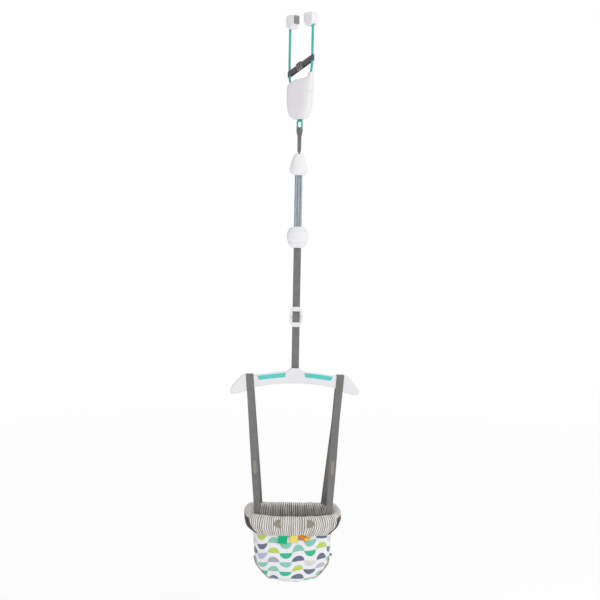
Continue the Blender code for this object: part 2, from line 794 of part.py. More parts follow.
def make_housing(on, skin, screw_skin):
    cavity = housing_cavity()
    cuts = [cavity, arm_slot()]
    mouth = box(
        "housing_mouth",
        (-MOUTH_HALF_WIDTH, -MOUTH_HALF_LENGTH, HOUSING_BOTTOM_Z - OVERRUN),
        (MOUTH_HALF_WIDTH, MOUTH_HALF_LENGTH, HOUSING_BOTTOM_Z + 2 * OVERRUN),
    )
    cuts.append(tool(mouth))
    slot_y = HOOK_PIN_RADIUS + TOUCH_GAP
    slot_x = HOOK_PIN_HALF + TOUCH_GAP
    pin_slot = box(
        "hook_pin_slot",
        (-slot_x, -slot_y, HOOK_PIN_Z - slot_y),
        (slot_x, slot_y, HOOK_PIN_Z + slot_y + HOOK_LIFT),
    )
    cuts.append(tool(pin_slot))
    pivot_reach = PIVOT_PIN_HALF + TOUCH_GAP
    pivot_hole = cylinder(
        "pivot_hole",
        (-pivot_reach, PIVOT_Y, PIVOT_Z),
        (pivot_reach, PIVOT_Y, PIVOT_Z),
        PIVOT_PIN_RADIUS + TOUCH_GAP,
    )
    cuts.append(tool(pivot_hole))
    bore_path = front_arm_path()
    bore_path[-1] = bore_path[-1] + (bore_path[-1] - bore_path[-2]).normalized() * TOUCH_GAP
    cuts.append(tool(rod("front_arm_bore", bore_path, ARM_RADIUS + TOUCH_GAP)))
    for i, place in enumerate(screw_places()):
        y, z = place
        hole = cylinder(
            f"screw_hole_{i}", (SCREW_TIP_X - TOUCH_GAP, y, z), (SCREW_SEAT_X + OVERRUN, y, z),
            SCREW_SHANK_RADIUS + TOUCH_GAP, 12,
        )
        head = cylinder(
            f"screw_head_room_{i}", (SCREW_SEAT_X - TOUCH_GAP, y, z),
            (HOUSING_HALF_THICK + OVERRUN, y, z), SCREW_HEAD_RADIUS + TOUCH_GAP, 12,
        )
        cuts += [tool(hole), tool(head)]
        head_out = SCREW_SEAT_X + SCREW_HEAD_THICK
        screw = screw_mesh(f"housing_screw_{i + 1}", place, SCREW_SEAT_X, SCREW_TIP_X, head_out)
        on.carry(link(f"housing_screw_{i + 1}", screw, screw_skin))
    far = HOUSING_HALF_LENGTH * 2
    for label, side in (("left", -1), ("right", 1)):
        piece = link(
            f"housing_{label}_shell",
            loft(f"housing_{label}_shell", housing_rings(HOUSING_LEVEL_SHARES, HOUSING_SIDES)),
            skin,
        )
        split = side * -TOUCH_GAP / 2
        edge = -side * far
        other_half = box(
            f"beyond_{label}_shell",
            (min(edge, -split), -far, HOUSING_BOTTOM_Z - far),
            (max(edge, -split), far, NECK_TOP_Z + far),
        )
        shape(piece, tool(other_half))
        for cut in cuts:
            shape(piece, cut)
        if side < 0:
            for k, x in enumerate((SNAP_WIDTH * -1.7, SNAP_WIDTH * -4.6)):
                window = box(
                    f"snap_window_{k}",
                    (x - SNAP_WIDTH / 2, -HOUSING_HALF_LENGTH - OVERRUN, HOUSING_BOTTOM_Z + SNAP_RISE),
                    (x + SNAP_WIDTH / 2, -HOUSING_HALF_LENGTH * 0.76,
                     HOUSING_BOTTOM_Z + SNAP_RISE + SNAP_HEIGHT),
                )
                shape(piece, tool(window))
        on.carry(piece)


def make_pivot_pin(on, skin):
    mesh = cylinder(
        "arm_pivot_pin",
        (-PIVOT_PIN_HALF, PIVOT_Y, PIVOT_Z),
        (PIVOT_PIN_HALF, PIVOT_Y, PIVOT_Z),
        PIVOT_PIN_RADIUS,
    )
    on.carry(link("arm_pivot_pin", mesh, skin))


def tube(name, path, radius, resolution=1):
    """A round wire as a bevelled poly curve with filled ends."""
    curve = bpy.data.curves.new(name, "CURVE")
    curve.dimensions = "3D"
    curve.bevel_depth = radius
    curve.bevel_resolution = resolution
    curve.use_fill_caps = True
    spline = curve.splines.new("POLY")
    spline.points.add(len(path) - 1)
    for point, place in zip(spline.points, path):
        point.co = (*place, 1.0)
    return curve


def coil_path(radius, pitch, turns, per_turn):
    """Helix points about +Z that start at the origin's level."""
    return [
        Vector(
            (
                radius * math.cos(2 * math.pi * k / per_turn),
                radius * math.sin(2 * math.pi * k / per_turn),
                pitch * k / per_turn,
            )
        )
        for k in range(turns * per_turn + 1)
    ]


def least_gap(path, radius, apart):
    """The least clear distance of a wire to itself, between points at least apart points along it."""
    nearest = min(
        (path[j] - path[i]).length for i in range(len(path)) for j in range(i + apart, len(path))
    )
    return nearest - 2 * radius


def make_return_spring(on, skin):
    """A torsion coil on the pivot pin, beside the lever's boss."""
    start_x = LEVER_PRONG_X + LEVER_PRONG_RADIUS + RUNNING_GAP + COIL_WIRE_RADIUS
    path = [
        Vector((start_x + p.z, PIVOT_Y + p.x, PIVOT_Z + p.y))
        for p in coil_path(COIL_RADIUS, COIL_PITCH, COIL_TURNS, COIL_POINTS_PER_TURN)
    ]
    legs_end = path[-1] + Vector((0, 0, COIL_LEG / 2))
    legs_start = path[0] - Vector((0, 0, COIL_LEG / 2))
    path = [legs_start] + path + [legs_end]
    gap = least_gap(path, COIL_WIRE_RADIUS, COIL_POINTS_PER_TURN // 2)
    print("least gap of the return spring to itself, mm:", round(gap * 1000, 3))
    mesh = tube("arm_return_spring", path, COIL_WIRE_RADIUS)
    on.carry(link("arm_return_spring", mesh, skin))


# Safety strap and its slide


def make_safety_strap(on, skin):
    """A flat loop round both rods, its ends kept upright so that they lie along the rods."""
    slope = (SAFETY_REAR_Z - SAFETY_FRONT_Z) / (SAFETY_REAR_Y + ARM_SPREAD)
    rings = []
    inner, outer = SAFETY_INNER_RADIUS, SAFETY_INNER_RADIUS + WEB_THICK
    half = SAFETY_WIDTH / 2

    def plan(radius, steps=8):
        points = []
        for centre, start in ((SAFETY_REAR_Y, 0), (-ARM_SPREAD, math.pi)):
            for k in range(steps + 1):
                a = start + math.pi * k / steps
                points.append((radius * math.cos(a), centre + radius * math.sin(a)))
        return points

    def ring(radius, rise):
        return [
            Vector((x, y, SAFETY_FRONT_Z + slope * (y + ARM_SPREAD) + rise)) for x, y in plan(radius)
        ]

    rings = [ring(inner, -half), ring(outer, -half), ring(outer, half), ring(inner, half)]
    on.carry(link("safety_strap", loft("safety_strap", rings, ring_closed=True), skin))


def safety_direction():
    return Vector((0, SAFETY_REAR_Y + ARM_SPREAD, SAFETY_REAR_Z - SAFETY_FRONT_Z)).normalized()


def buckle_centre():
    middle_y = (SAFETY_REAR_Y - ARM_SPREAD) / 2
    x = -(SAFETY_INNER_RADIUS + WEB_THICK / 2)
    return Vector((x, middle_y, (SAFETY_FRONT_Z + SAFETY_REAR_Z) / 2))


def slanted_box(name, centre, half_x, half_along, half_across):
    """A box whose long sides follow the safety strap's run."""
    along = safety_direction()
    across = Vector((0, -along.z, along.y))
    rings = []
    for x in (-half_x, half_x):
        rings.append(
            [
                centre + Vector((x, 0, 0)) + along * (a * half_along) + across * (b * half_across)
                for a, b in ((-1, -1), (1, -1), (1, 1), (-1, 1))
            ]
        )
    return loft(name, rings)


def make_strap_buckle(on, skin):
    centre = buckle_centre()
    room = WEB_THICK / 2 + TOUCH_GAP
    body = slanted_box(
        "strap_buckle", centre, room + SLIDE_WALL, SLIDE_LENGTH / 2, SLIDE_WIDTH / 2
    )
    piece = link("strap_buckle", body, skin)
    blunt(piece, FINE_BEVEL)
    strap_room = SAFETY_WIDTH / 2 * safety_direction().y + TOUCH_GAP
    window = slanted_box(
        "strap_buckle_window", centre, room, SLIDE_LENGTH / 2 + OVERRUN, strap_room
    )
    shape(piece, tool(window))
    on.carry(piece)


# Hook: pin and link


def make_hook_pin(on, skin):
    mesh = cylinder("hook_pin", (-HOOK_PIN_HALF, 0, HOOK_PIN_Z), (HOOK_PIN_HALF, 0, HOOK_PIN_Z),
                    HOOK_PIN_RADIUS)
    on.carry(link("hook_pin", mesh, skin))


def make_load_hook(on, skin):
    """A flat link: an eye on the hook pin, a shank, and a slot whose lower bar is round."""
    shoulder_z = HOUSING_BOTTOM_Z - HOOK_SHOULDER_DROP
    eye = [
        (y, z)
        for y, z in arc((0, HOOK_PIN_Z), HOOK_EYE_RADIUS, math.radians(-45), math.radians(225), 14)
    ]
    body_corners = [
        (-HOOK_SHANK_HALF, HOUSING_BOTTOM_Z + HOOK_CORNER),
        (-HOOK_HALF_WIDTH, shoulder_z - HOOK_CORNER),
        (-HOOK_HALF_WIDTH, HOOK_BAR_Z - HOOK_BAR_RADIUS / 3),
        (HOOK_HALF_WIDTH, HOOK_BAR_Z - HOOK_BAR_RADIUS / 3),
        (HOOK_HALF_WIDTH, shoulder_z - HOOK_CORNER),
        (HOOK_SHANK_HALF, HOUSING_BOTTOM_Z + HOOK_CORNER),
    ]
    outline = eye + body_corners
    piece = link("load_hook", prism("load_hook", outline, -HOOK_THICK / 2, HOOK_THICK / 2), skin)
    blunt(piece, FINE_BEVEL)
    slot_top = HOOK_BAR_Z + HOOK_SLOT_HEIGHT
    slot = box(
        "hook_slot",
        (-HOOK_THICK, -HOOK_SLOT_HALF, HOOK_BAR_Z - HOOK_BAR_RADIUS - OVERRUN),
        (HOOK_THICK, HOOK_SLOT_HALF, slot_top),
    )
    shape(piece, tool(slot))
    grip = (HOOK_HALF_WIDTH + HOOK_SLOT_HALF) / 2
    bar = cylinder("hook_bar", (0, -grip, HOOK_BAR_Z), (0, grip, HOOK_BAR_Z), HOOK_BAR_RADIUS, 12)
    shape(piece, tool(bar), "UNION")
    hole = cylinder("hook_eye_hole", (-HOOK_THICK, 0, HOOK_PIN_Z), (HOOK_THICK, 0, HOOK_PIN_Z),
                    HOOK_PIN_RADIUS + TOUCH_GAP)
    shape(piece, tool(hole))
    on.carry(piece)


# Hook strap: a sewn double band, looped at both ends and twisted between them


def make_hook_strap(on, skin):
    top_room = HOOK_BAR_RADIUS + TOUCH_GAP
    low_room = CAP_PIN_RADIUS + TOUCH_GAP
    top_head = top_room + WEB_THICK
    low_head = low_room + WEB_THICK
    length = HOOK_BAR_Z - UPPER_PIN_Z
    levels = []
    for k in range(7):
        a = math.pi / 2 * (1 - k / 6)
        levels.append((top_head * math.sin(a), top_head * max(math.cos(a), 0.2)))
    levels.append((-top_head * 0.75, top_head * 0.72))
    levels.append((-top_head * 1.7, SEWN_THICK / 2))
    straight = 8
    for k in range(1, straight):
        levels.append((-top_head * 1.7 - (length - top_head * 1.7 - low_head * 1.7) * k / straight,
                       SEWN_THICK / 2))
    levels.append((-length + low_head * 1.7, SEWN_THICK / 2))
    levels.append((-length + low_head * 0.75, low_head * 0.72))
    for k in range(7):
        a = math.pi / 2 * k / 6
        levels.append((-length - low_head * math.sin(a), low_head * max(math.cos(a), 0.2)))
    rings = []
    for rise, half_thick in levels:
        run = min(max((-rise - 2 * top_head) / (HOOK_STRAP_LENGTH - 2 * top_head), 0), 1)
        turn = LOWER_TURN * run
        widen = min(max((-rise - top_head) / (2 * top_head), 0), 1)
        half_wide = (HOOK_STRAP_LOOP_WIDTH + (WEB_WIDTH - HOOK_STRAP_LOOP_WIDTH) * widen) / 2
        ring = []
        for a, b in ((-1, -1), (1, -1), (1, 1), (-1, 1)):
            x, y = a * half_thick, b * half_wide
            ring.append(
                Vector(
                    (
                        x * math.cos(turn) - y * math.sin(turn),
                        x * math.sin(turn) + y * math.cos(turn),
                        HOOK_BAR_Z + rise,
                    )
                )
            )
        rings.append(ring)
    piece = link("hook_strap", band("hook_strap", rings), skin)
    reach = WEB_WIDTH
    bar_room = cylinder("hook_strap_eye", (0, -reach, HOOK_BAR_Z), (0, reach, HOOK_BAR_Z), top_room, 16)
    shape(piece, tool(bar_room))
    pin_room = cylinder("hook_strap_foot", (0, -reach, UPPER_PIN_Z), (0, reach, UPPER_PIN_Z), low_room, 14)
    shape(piece, tool(pin_room, LOWER_TURN))
    on.carry(piece)


# Caps of the spring unit

# Drop below the cap's top and half width, as shares of the cap's height and half width
UPPER_CAP_SHARES = (
    (0.000, 0.26),
    (0.030, 0.44),
    (0.110, 0.60),
    (0.270, 0.75),
    (0.500, 0.91),
    (0.720, 1.00),
    (0.860, 0.99),
    (0.940, 0.86),
    (1.000, 0.66),
)
LOWER_CAP_SHARES = (
    (0.000, 0.42),
    (0.050, 0.66),
    (0.160, 0.86),
    (0.340, 0.99),
    (0.560, 1.00),
    (0.760, 0.91),
    (0.900, 0.76),
    (0.970, 0.61),
    (1.000, 0.50),
)


def cap_rings(shares, width, depth, top_z, height):
    return [
        oval(width / 2 * wide, depth / 2 * wide, top_z - height * drop, CAP_SIDES, CAP_POWER)
        for drop, wide in shares
    ]


def cap_screw_places(x, z):
    return [(-x, z), (x, z)]


def cap_screw_mesh(name, place):
    """A screw along Y at place (x, z), put in from the rear."""
    x, z = place
    rings = []
    for y, radius in (
        (CAP_SCREW_TIP_Y, SCREW_SHANK_RADIUS),
        (CAP_SCREW_HEAD_Y, SCREW_SHANK_RADIUS),
        (CAP_SCREW_HEAD_Y, SCREW_HEAD_RADIUS),
        (CAP_SCREW_HEAD_Y + SCREW_HEAD_THICK, SCREW_HEAD_RADIUS),
    ):
        ring = []
        for k in range(12):
            a = 2 * math.pi * k / 12
            ring.append(Vector((x + radius * math.cos(a), y, z + radius * math.sin(a))))
        rings.append(ring)
    return loft(name, rings)


def make_cap(on, label, rings, cuts, screw_x, screw_z, skin, screw_skin):
    """Front and rear halves of a cap, and the two screws that hold them."""
    turn = on.turn
    for i, place in enumerate(cap_screw_places(screw_x, screw_z)):
        x, z = place
        hole = cylinder(
            f"{label}_cap_screw_hole_{i}", (x, CAP_SCREW_TIP_Y - TOUCH_GAP, z),
            (x, CAP_SCREW_HEAD_Y + OVERRUN, z), SCREW_SHANK_RADIUS + TOUCH_GAP, 12,
        )
        head = cylinder(
            f"{label}_cap_screw_room_{i}", (x, CAP_SCREW_HEAD_Y - TOUCH_GAP, z),
            (x, LOWER_CAP_DEPTH, z), SCREW_HEAD_RADIUS + TOUCH_GAP, 12,
        )
        cuts = cuts + [tool(hole, turn), tool(head, turn)]
        name = f"{label}_cap_screw_{i + 1}"
        on.carry(link(name, cap_screw_mesh(name, place), screw_skin))
    far = LOWER_CAP_WIDTH
    low_z, high_z = rings[-1][0].z - far, rings[0][0].z + far
    for half, side in (("front", -1), ("rear", 1)):
        name = f"{label}_cap_{half}"
        piece = link(name, loft(name, rings), skin)
        for cut in cuts:
            shape(piece, cut)
        split = -side * TOUCH_GAP / 2
        edge = -side * far
        beyond = box(
            f"beyond_{name}",
            (-far, min(edge, -split), low_z),
            (far, max(edge, -split), high_z),
        )
        shape(piece, tool(beyond, turn))
        on.carry(piece)


def plate_room(name, z_low, z_high):
    return box(
        name,
        (-PLATE_WIDTH / 2 - TOUCH_GAP, -PLATE_DEPTH / 2 - TOUCH_GAP, z_low - TOUCH_GAP),
        (PLATE_WIDTH / 2 + TOUCH_GAP, PLATE_DEPTH / 2 + TOUCH_GAP, z_high + TOUCH_GAP),
    )


def spring_passage(name, z_low, z_high):
    half_x = SPRING_PITCH_X * (SPRING_COUNT - 1) / 2 + SPRING_RADIUS + SPRING_WIRE_RADIUS + SPRING_ROOM
    half_y = SPRING_RADIUS + SPRING_WIRE_RADIUS + SPRING_ROOM
    return box(name, (-half_x, -half_y, z_low), (half_x, half_y, z_high))


def make_upper_cap(on, skin, pin_skin, plate_skin, screw_skin):
    turn = on.turn
    rings = cap_rings(
        UPPER_CAP_SHARES, UPPER_CAP_WIDTH, UPPER_CAP_DEPTH, UPPER_CAP_TOP_Z, UPPER_CAP_HEIGHT
    )
    head = CAP_PIN_RADIUS + WEB_THICK + 2 * TOUCH_GAP
    half_web = WEB_WIDTH / 2 + TOUCH_GAP
    strap_slot = box(
        "upper_cap_strap_slot",
        (-SEWN_THICK / 2 - TOUCH_GAP, -half_web, UPPER_PIN_Z),
        (SEWN_THICK / 2 + TOUCH_GAP, half_web, UPPER_CAP_TOP_Z + OVERRUN),
    )
    loop_room = box(
        "upper_cap_loop_room",
        (-head, -half_web, UPPER_PIN_Z - head),
        (head, half_web, UPPER_PIN_Z + 2 * head),
    )
    pin_hole = cylinder(
        "upper_cap_pin_hole",
        (0, -UPPER_PIN_HALF - TOUCH_GAP, UPPER_PIN_Z),
        (0, UPPER_PIN_HALF + TOUCH_GAP, UPPER_PIN_Z),
        CAP_PIN_RADIUS + TOUCH_GAP,
        14,
    )
    cuts = [
        tool(strap_slot, turn),
        tool(loop_room, turn),
        tool(pin_hole, turn),
        tool(plate_room("upper_cap_plate_room", UPPER_PLATE_Z, UPPER_PLATE_Z + PLATE_THICK), turn),
        tool(spring_passage("upper_cap_passage", UPPER_CAP_BOTTOM_Z - OVERRUN, UPPER_PLATE_Z), turn),
    ]
    make_cap(on, "upper", rings, cuts, CAP_SCREW_X, UPPER_PLATE_Z - PLATE_THICK * 2, skin, screw_skin)
    pin = cylinder(
        "upper_strap_pin", (0, -UPPER_PIN_HALF, UPPER_PIN_Z), (0, UPPER_PIN_HALF, UPPER_PIN_Z),
        CAP_PIN_RADIUS, 14,
    )
    on.carry(link("upper_strap_pin", pin, pin_skin))
    plate = box(
        "upper_spring_plate",
        (-PLATE_WIDTH / 2, -PLATE_DEPTH / 2, UPPER_PLATE_Z),
        (PLATE_WIDTH / 2, PLATE_DEPTH / 2, UPPER_PLATE_Z + PLATE_THICK),
    )
    on.carry(link("upper_spring_plate", plate, plate_skin))


def make_lower_cap(on, skin, pin_skin, plate_skin, screw_skin):
    turn = on.turn
    rings = cap_rings(
        LOWER_CAP_SHARES, LOWER_CAP_WIDTH, LOWER_CAP_DEPTH, LOWER_CAP_TOP_Z, LOWER_CAP_HEIGHT
    )
    head = CAP_PIN_RADIUS + WEB_THICK + 2 * TOUCH_GAP
    half_web = WEB_WIDTH / 2 + TOUCH_GAP
    slot_half = WEB_THICK + WEB_LAYER_GAP / 2 + TOUCH_GAP
    strap_slot = box(
        "lower_cap_strap_slot",
        (-half_web, -slot_half, LOWER_CAP_BOTTOM_Z - OVERRUN),
        (half_web, slot_half, LOWER_PIN_Z),
    )
    loop_room = box(
        "lower_cap_loop_room",
        (-half_web, -head, LOWER_PIN_Z - 2.6 * head),
        (half_web, head, LOWER_PIN_Z + head),
    )
    pin_hole = cylinder(
        "lower_cap_pin_hole",
        (-LOWER_PIN_HALF - TOUCH_GAP, 0, LOWER_PIN_Z),
        (LOWER_PIN_HALF + TOUCH_GAP, 0, LOWER_PIN_Z),
        CAP_PIN_RADIUS + TOUCH_GAP,
        14,
    )
    cuts = [
        tool(strap_slot, turn),
        tool(loop_room, turn),
        tool(pin_hole, turn),
        tool(plate_room("lower_cap_plate_room", LOWER_PLATE_Z - PLATE_THICK, LOWER_PLATE_Z), turn),
        tool(spring_passage("lower_cap_passage", LOWER_PLATE_Z, LOWER_CAP_TOP_Z + OVERRUN), turn),
    ]
    make_cap(on, "lower", rings, cuts, LOWER_SCREW_X, LOWER_PLATE_Z + PLATE_THICK * 2, skin, screw_skin)
    pin = cylinder(
        "lower_strap_pin", (-LOWER_PIN_HALF, 0, LOWER_PIN_Z), (LOWER_PIN_HALF, 0, LOWER_PIN_Z),
        CAP_PIN_RADIUS, 14,
    )
    on.carry(link("lower_strap_pin", pin, pin_skin))
    plate = box(
        "lower_spring_plate",
        (-PLATE_WIDTH / 2, -PLATE_DEPTH / 2, LOWER_PLATE_Z - PLATE_THICK),
        (PLATE_WIDTH / 2, PLATE_DEPTH / 2, LOWER_PLATE_Z),
    )
    on.carry(link("lower_spring_plate", plate, plate_skin))


def spring_path():
    """One extension spring's middle line about x = y = 0, its straight ends square to the plates."""
    top, bottom = UPPER_PLATE_Z - TOUCH_GAP, LOWER_PLATE_Z + TOUCH_GAP
    coil_length = top - bottom - 2 * SPRING_STUB
    pitch = coil_length / SPRING_TURNS
    coil = coil_path(SPRING_RADIUS, pitch, SPRING_TURNS, SPRING_POINTS_PER_TURN)
    path = [Vector((SPRING_RADIUS, 0, bottom))]
    path += [Vector((p.x, p.y, bottom + SPRING_STUB + p.z)) for p in coil]
    path.append(Vector((SPRING_RADIUS, 0, top)))
    return path


def make_springs(on, skin):
    path = spring_path()
    gap = least_gap(path, SPRING_WIRE_RADIUS, SPRING_POINTS_PER_TURN // 2)
    print("least gap of a spring to itself, mm:", round(gap * 1000, 3))
    for i, label in enumerate(("left", "middle", "right")):
        x = SPRING_PITCH_X * (i - (SPRING_COUNT - 1) / 2)
        name = f"spring_{label}"
        wire = tube(name, [p + Vector((x, 0, 0)) for p in path], SPRING_WIRE_RADIUS)
        on.carry(link(name, wire, skin))


# Height strap: cap to adjuster to hub, and the layer that comes back up to the adjuster


def lifted(pairs):
    return [Vector((0, y, z)) for y, z in pairs]


def make_height_strap(on, skin):
    pin_layer = CAP_PIN_RADIUS + LAYER_OFF_PIN
    hub_layer = HUB_PIN_RADIUS + LAYER_OFF_PIN
    behind_frame = ADJUSTER_THICK / 2 + LAYER_OFF_PIN
    over_bar = ADJUSTER_BAR_RADIUS + TOUCH_GAP + WEB_THICK + LAYER_OFF_PIN
    window_half = ADJUSTER_WINDOW_HEIGHT / 2
    frame_half = ADJUSTER_HEIGHT / 2
    pairs = [
        (LAYER_Y, LOWER_CAP_BOTTOM_Z - HEIGHT_TAIL),
        (LAYER_Y, LOWER_PIN_Z - 2 * pin_layer),
    ]
    pairs += arc((0, LOWER_PIN_Z), pin_layer, math.radians(-20), math.radians(200), 10)
    pairs += [
        (-LAYER_Y, LOWER_PIN_Z - 2 * pin_layer),
        (-LAYER_Y, LOWER_CAP_BOTTOM_Z - HEIGHT_TAIL),
        (0, ADJUSTER_Z + 1.6 * frame_half),
        (behind_frame, ADJUSTER_Z + frame_half),
        (behind_frame, ADJUSTER_Z + window_half),
        (-over_bar, ADJUSTER_Z + ADJUSTER_BAR_RADIUS),
        (-over_bar, ADJUSTER_Z - ADJUSTER_BAR_RADIUS),
        (behind_frame, ADJUSTER_Z - window_half),
        (behind_frame, ADJUSTER_Z - frame_half),
        (-LAYER_Y, ADJUSTER_Z - 1.6 * frame_half),
        (-LAYER_Y, HUB_PIN_Z + 2 * hub_layer),
    ]
    pairs += arc((0, HUB_PIN_Z), hub_layer, math.radians(160), math.radians(380), 10)
    pairs.append((LAYER_Y, HUB_PIN_Z + 2 * hub_layer))
    path = lifted(pairs)
    side = Vector((1, 0, 0))
    strap = ribbon("height_strap", path, [side] * len(path), WEB_WIDTH, WEB_THICK)
    on.carry(link("height_strap", strap, skin))


def make_height_strap_return(on, skin):
    hub_layer = HUB_PIN_RADIUS + LAYER_OFF_PIN
    behind_frame = ADJUSTER_THICK / 2 + LAYER_OFF_PIN + WEB_THICK + TOUCH_GAP
    bar_layer = ADJUSTER_BAR_RADIUS + LAYER_OFF_PIN
    window_half = ADJUSTER_WINDOW_HEIGHT / 2
    frame_half = ADJUSTER_HEIGHT / 2
    pairs = [
        (LAYER_Y, HUB_PIN_Z + 2 * hub_layer + TOUCH_GAP),
        (LAYER_Y, ADJUSTER_Z - 1.6 * frame_half),
        (behind_frame, ADJUSTER_Z - frame_half),
        (behind_frame, ADJUSTER_Z - window_half),
        (behind_frame * 0.9, ADJUSTER_Z - window_half * 0.5),
    ]
    pairs += arc((0, ADJUSTER_Z), bar_layer, 0, math.pi, 8)
    path = lifted(pairs)
    side = Vector((1, 0, 0))
    strap = ribbon("height_strap_return", path, [side] * len(path), WEB_WIDTH, WEB_THICK)
    on.carry(link("height_strap_return", strap, skin))


def make_adjuster(on, skin):
    turn = on.turn
    half_w, half_h = ADJUSTER_WIDTH / 2, ADJUSTER_HEIGHT / 2
    corners = [
        (-half_w, ADJUSTER_Z - half_h),
        (half_w, ADJUSTER_Z - half_h),
        (half_w, ADJUSTER_Z + half_h),
        (-half_w, ADJUSTER_Z + half_h),
    ]
    outline = rounded(corners, ADJUSTER_CORNER)
    frame = prism("height_adjuster", outline, -ADJUSTER_THICK / 2, ADJUSTER_THICK / 2, "Y")
    piece = link("height_adjuster", frame, skin)
    blunt(piece, FINE_BEVEL)
    window = box(
        "adjuster_window",
        (-ADJUSTER_WINDOW_WIDTH / 2, -ADJUSTER_THICK, ADJUSTER_Z - ADJUSTER_WINDOW_HEIGHT / 2),
        (ADJUSTER_WINDOW_WIDTH / 2, ADJUSTER_THICK, ADJUSTER_Z + ADJUSTER_WINDOW_HEIGHT / 2),
    )
    shape(piece, tool(window, turn))
    grip = (ADJUSTER_WIDTH + ADJUSTER_WINDOW_WIDTH) / 4
    bar = cylinder("adjuster_bar", (-grip, 0, ADJUSTER_Z), (grip, 0, ADJUSTER_Z), ADJUSTER_BAR_RADIUS, 12)
    shape(piece, tool(bar, turn), "UNION")
    on.carry(piece)


# Spreader bar

# Points of the right half, as shares of the half length and of the height below the hub's top
BAR_TOP_SHARES = (
    (0.062, 0.000),
    (0.130, 0.220),
    (0.150, 0.240),
    (0.300, 0.300),
    (0.450, 0.380),
    (0.590, 0.460),
    (0.640, 0.475),
    (0.780, 0.450),
    (0.830, 0.520),
    (0.975, 1.250),
    (1.000, 1.480),
    (1.000, 1.640),
    (0.985, 1.720),
)
BAR_BOTTOM_SHARES = (
    (0.930, 1.745),
    (0.800, 1.600),
    (0.600, 1.260),
    (0.400, 1.110),
    (0.200, 1.025),
    (0.000, 1.000),
)


def bar_point(shares):
    along, down = shares
    return (BAR_HALF_LENGTH * along, HUB_TOP_Z - BAR_HEIGHT * down)


def bar_outline():
    right = [bar_point(s) for s in BAR_TOP_SHARES + BAR_BOTTOM_SHARES]
    left = [(-x, z) for x, z in reversed(right[:-1])]
    return right + left


def bar_edge_z(x):
    """Height of the bar's top edge at x, read off its outline."""
    points = [bar_point(s) for s in BAR_TOP_SHARES]
    x = abs(x)
    for (x0, z0), (x1, z1) in zip(points, points[1:]):
        if x0 <= x <= x1:
            return z0 + (z1 - z0) * (x - x0) / (x1 - x0)
    return points[0][1]


def inset_outline(side, margin):
    """A curved band that follows the bar's top edge; its ends slant like the hub and the tips."""
    start, end = INSET_START_X - margin, INSET_END_X + margin
    top, bottom = [], []
    for k in range(BAR_STEPS + 1):
        x = start + (end - start) * k / BAR_STEPS
        top.append((side * x, bar_edge_z(x) - INSET_BELOW_EDGE + margin))
    slant = INSET_HEIGHT * 0.5
    for k in range(BAR_STEPS + 1):
        x = start + slant * 0.4 + (end - slant - start - slant * 0.4) * k / BAR_STEPS
        bottom.append((side * x, bar_edge_z(x) - INSET_BELOW_EDGE - INSET_HEIGHT - margin))
    return top + list(reversed(bottom))


def make_spreader_bar(on, skin, inset_skin):
    turn = on.turn
    body = prism("spreader_bar", bar_outline(), -BAR_THICK / 2, BAR_THICK / 2, "Y")
    piece = link("spreader_bar", body, skin)
    blunt(piece, BAR_EDGE, 2)
    half_web = WEB_WIDTH / 2 + RUNNING_GAP
    loop_low = HUB_PIN_Z - HUB_PIN_RADIUS - WEB_THICK - 3 * RUNNING_GAP
    slot = box(
        "hub_slot",
        (-half_web, -HUB_SLOT_HALF_DEPTH, loop_low),
        (half_web, HUB_SLOT_HALF_DEPTH, HUB_TOP_Z + OVERRUN),
    )
    shape(piece, tool(slot, turn))
    reach = HUB_PIN_HALF + TOUCH_GAP
    hole = cylinder("hub_pin_hole", (-reach, 0, HUB_PIN_Z), (reach, 0, HUB_PIN_Z),
                    HUB_PIN_RADIUS + TOUCH_GAP)
    shape(piece, tool(hole, turn))
    front = -BAR_THICK / 2
    for label, side in (("left", -1), ("right", 1)):
        pocket = prism(
            f"{label}_inset_pocket", inset_outline(side, TOUCH_GAP), front - OVERRUN, front + INSET_DEEP, "Y"
        )
        shape(piece, tool(pocket, turn))
        name = f"bar_inset_{label}"
        inset = prism(name, inset_outline(side, 0.0), front - INSET_PROUD,
                      front + INSET_DEEP - TOUCH_GAP, "Y")
        on.carry(link(name, inset, inset_skin))
    on.carry(piece)


def make_hub_pin(on, skin):
    mesh = cylinder("hub_pin", (-HUB_PIN_HALF, 0, HUB_PIN_Z), (HUB_PIN_HALF, 0, HUB_PIN_Z), HUB_PIN_RADIUS)
    on.carry(link("hub_pin", mesh, skin))


# Seat collar: a stuffed band lofted from level rings

# Half width, half depth and drop below the rim, as shares of the collar's own three
COLLAR_RING_SHARES = (
    (0.783, 0.790, 0.920),
    (0.822, 0.780, 0.540),
    (0.867, 0.790, 0.160),
    (0.925, 0.865, 0.000),
    (0.977, 0.950, 0.110),
    (1.000, 1.000, 0.350),
    (0.982, 0.995, 0.640),
    (0.872, 0.970, 0.920),
    (0.835, 0.933, 1.000),
    (0.786, 0.825, 1.000),
)


def collar_rings():
    return [
        oval(
            COLLAR_HALF_WIDTH * wide,
            COLLAR_HALF_DEPTH * deep,
            RIM_Z - COLLAR_HEIGHT * drop,
            COLLAR_SIDES,
            COLLAR_POWER,
        )
        for wide, deep, drop in COLLAR_RING_SHARES
    ]


def make_collar(on, skin):
    on.carry(link("seat_collar", loft("seat_collar", collar_rings(), ring_closed=True), skin))


def collar_inner_y(x, drop):
    """Half depth of the opening inside the collar at x, at a drop below the rim."""
    rings = COLLAR_RING_SHARES[:3]
    share = drop / COLLAR_HEIGHT
    (w1, d1, s1), (w0, d0, s0) = rings[1], rings[2]
    run = (share - s0) / (s1 - s0)
    half_x = COLLAR_HALF_WIDTH * (w0 + (w1 - w0) * run)
    half_y = COLLAR_HALF_DEPTH * (d0 + (d1 - d0) * run)
    inside = max(1 - abs(x / half_x) ** COLLAR_POWER, 0)
    return half_y * inside ** (1 / COLLAR_POWER)


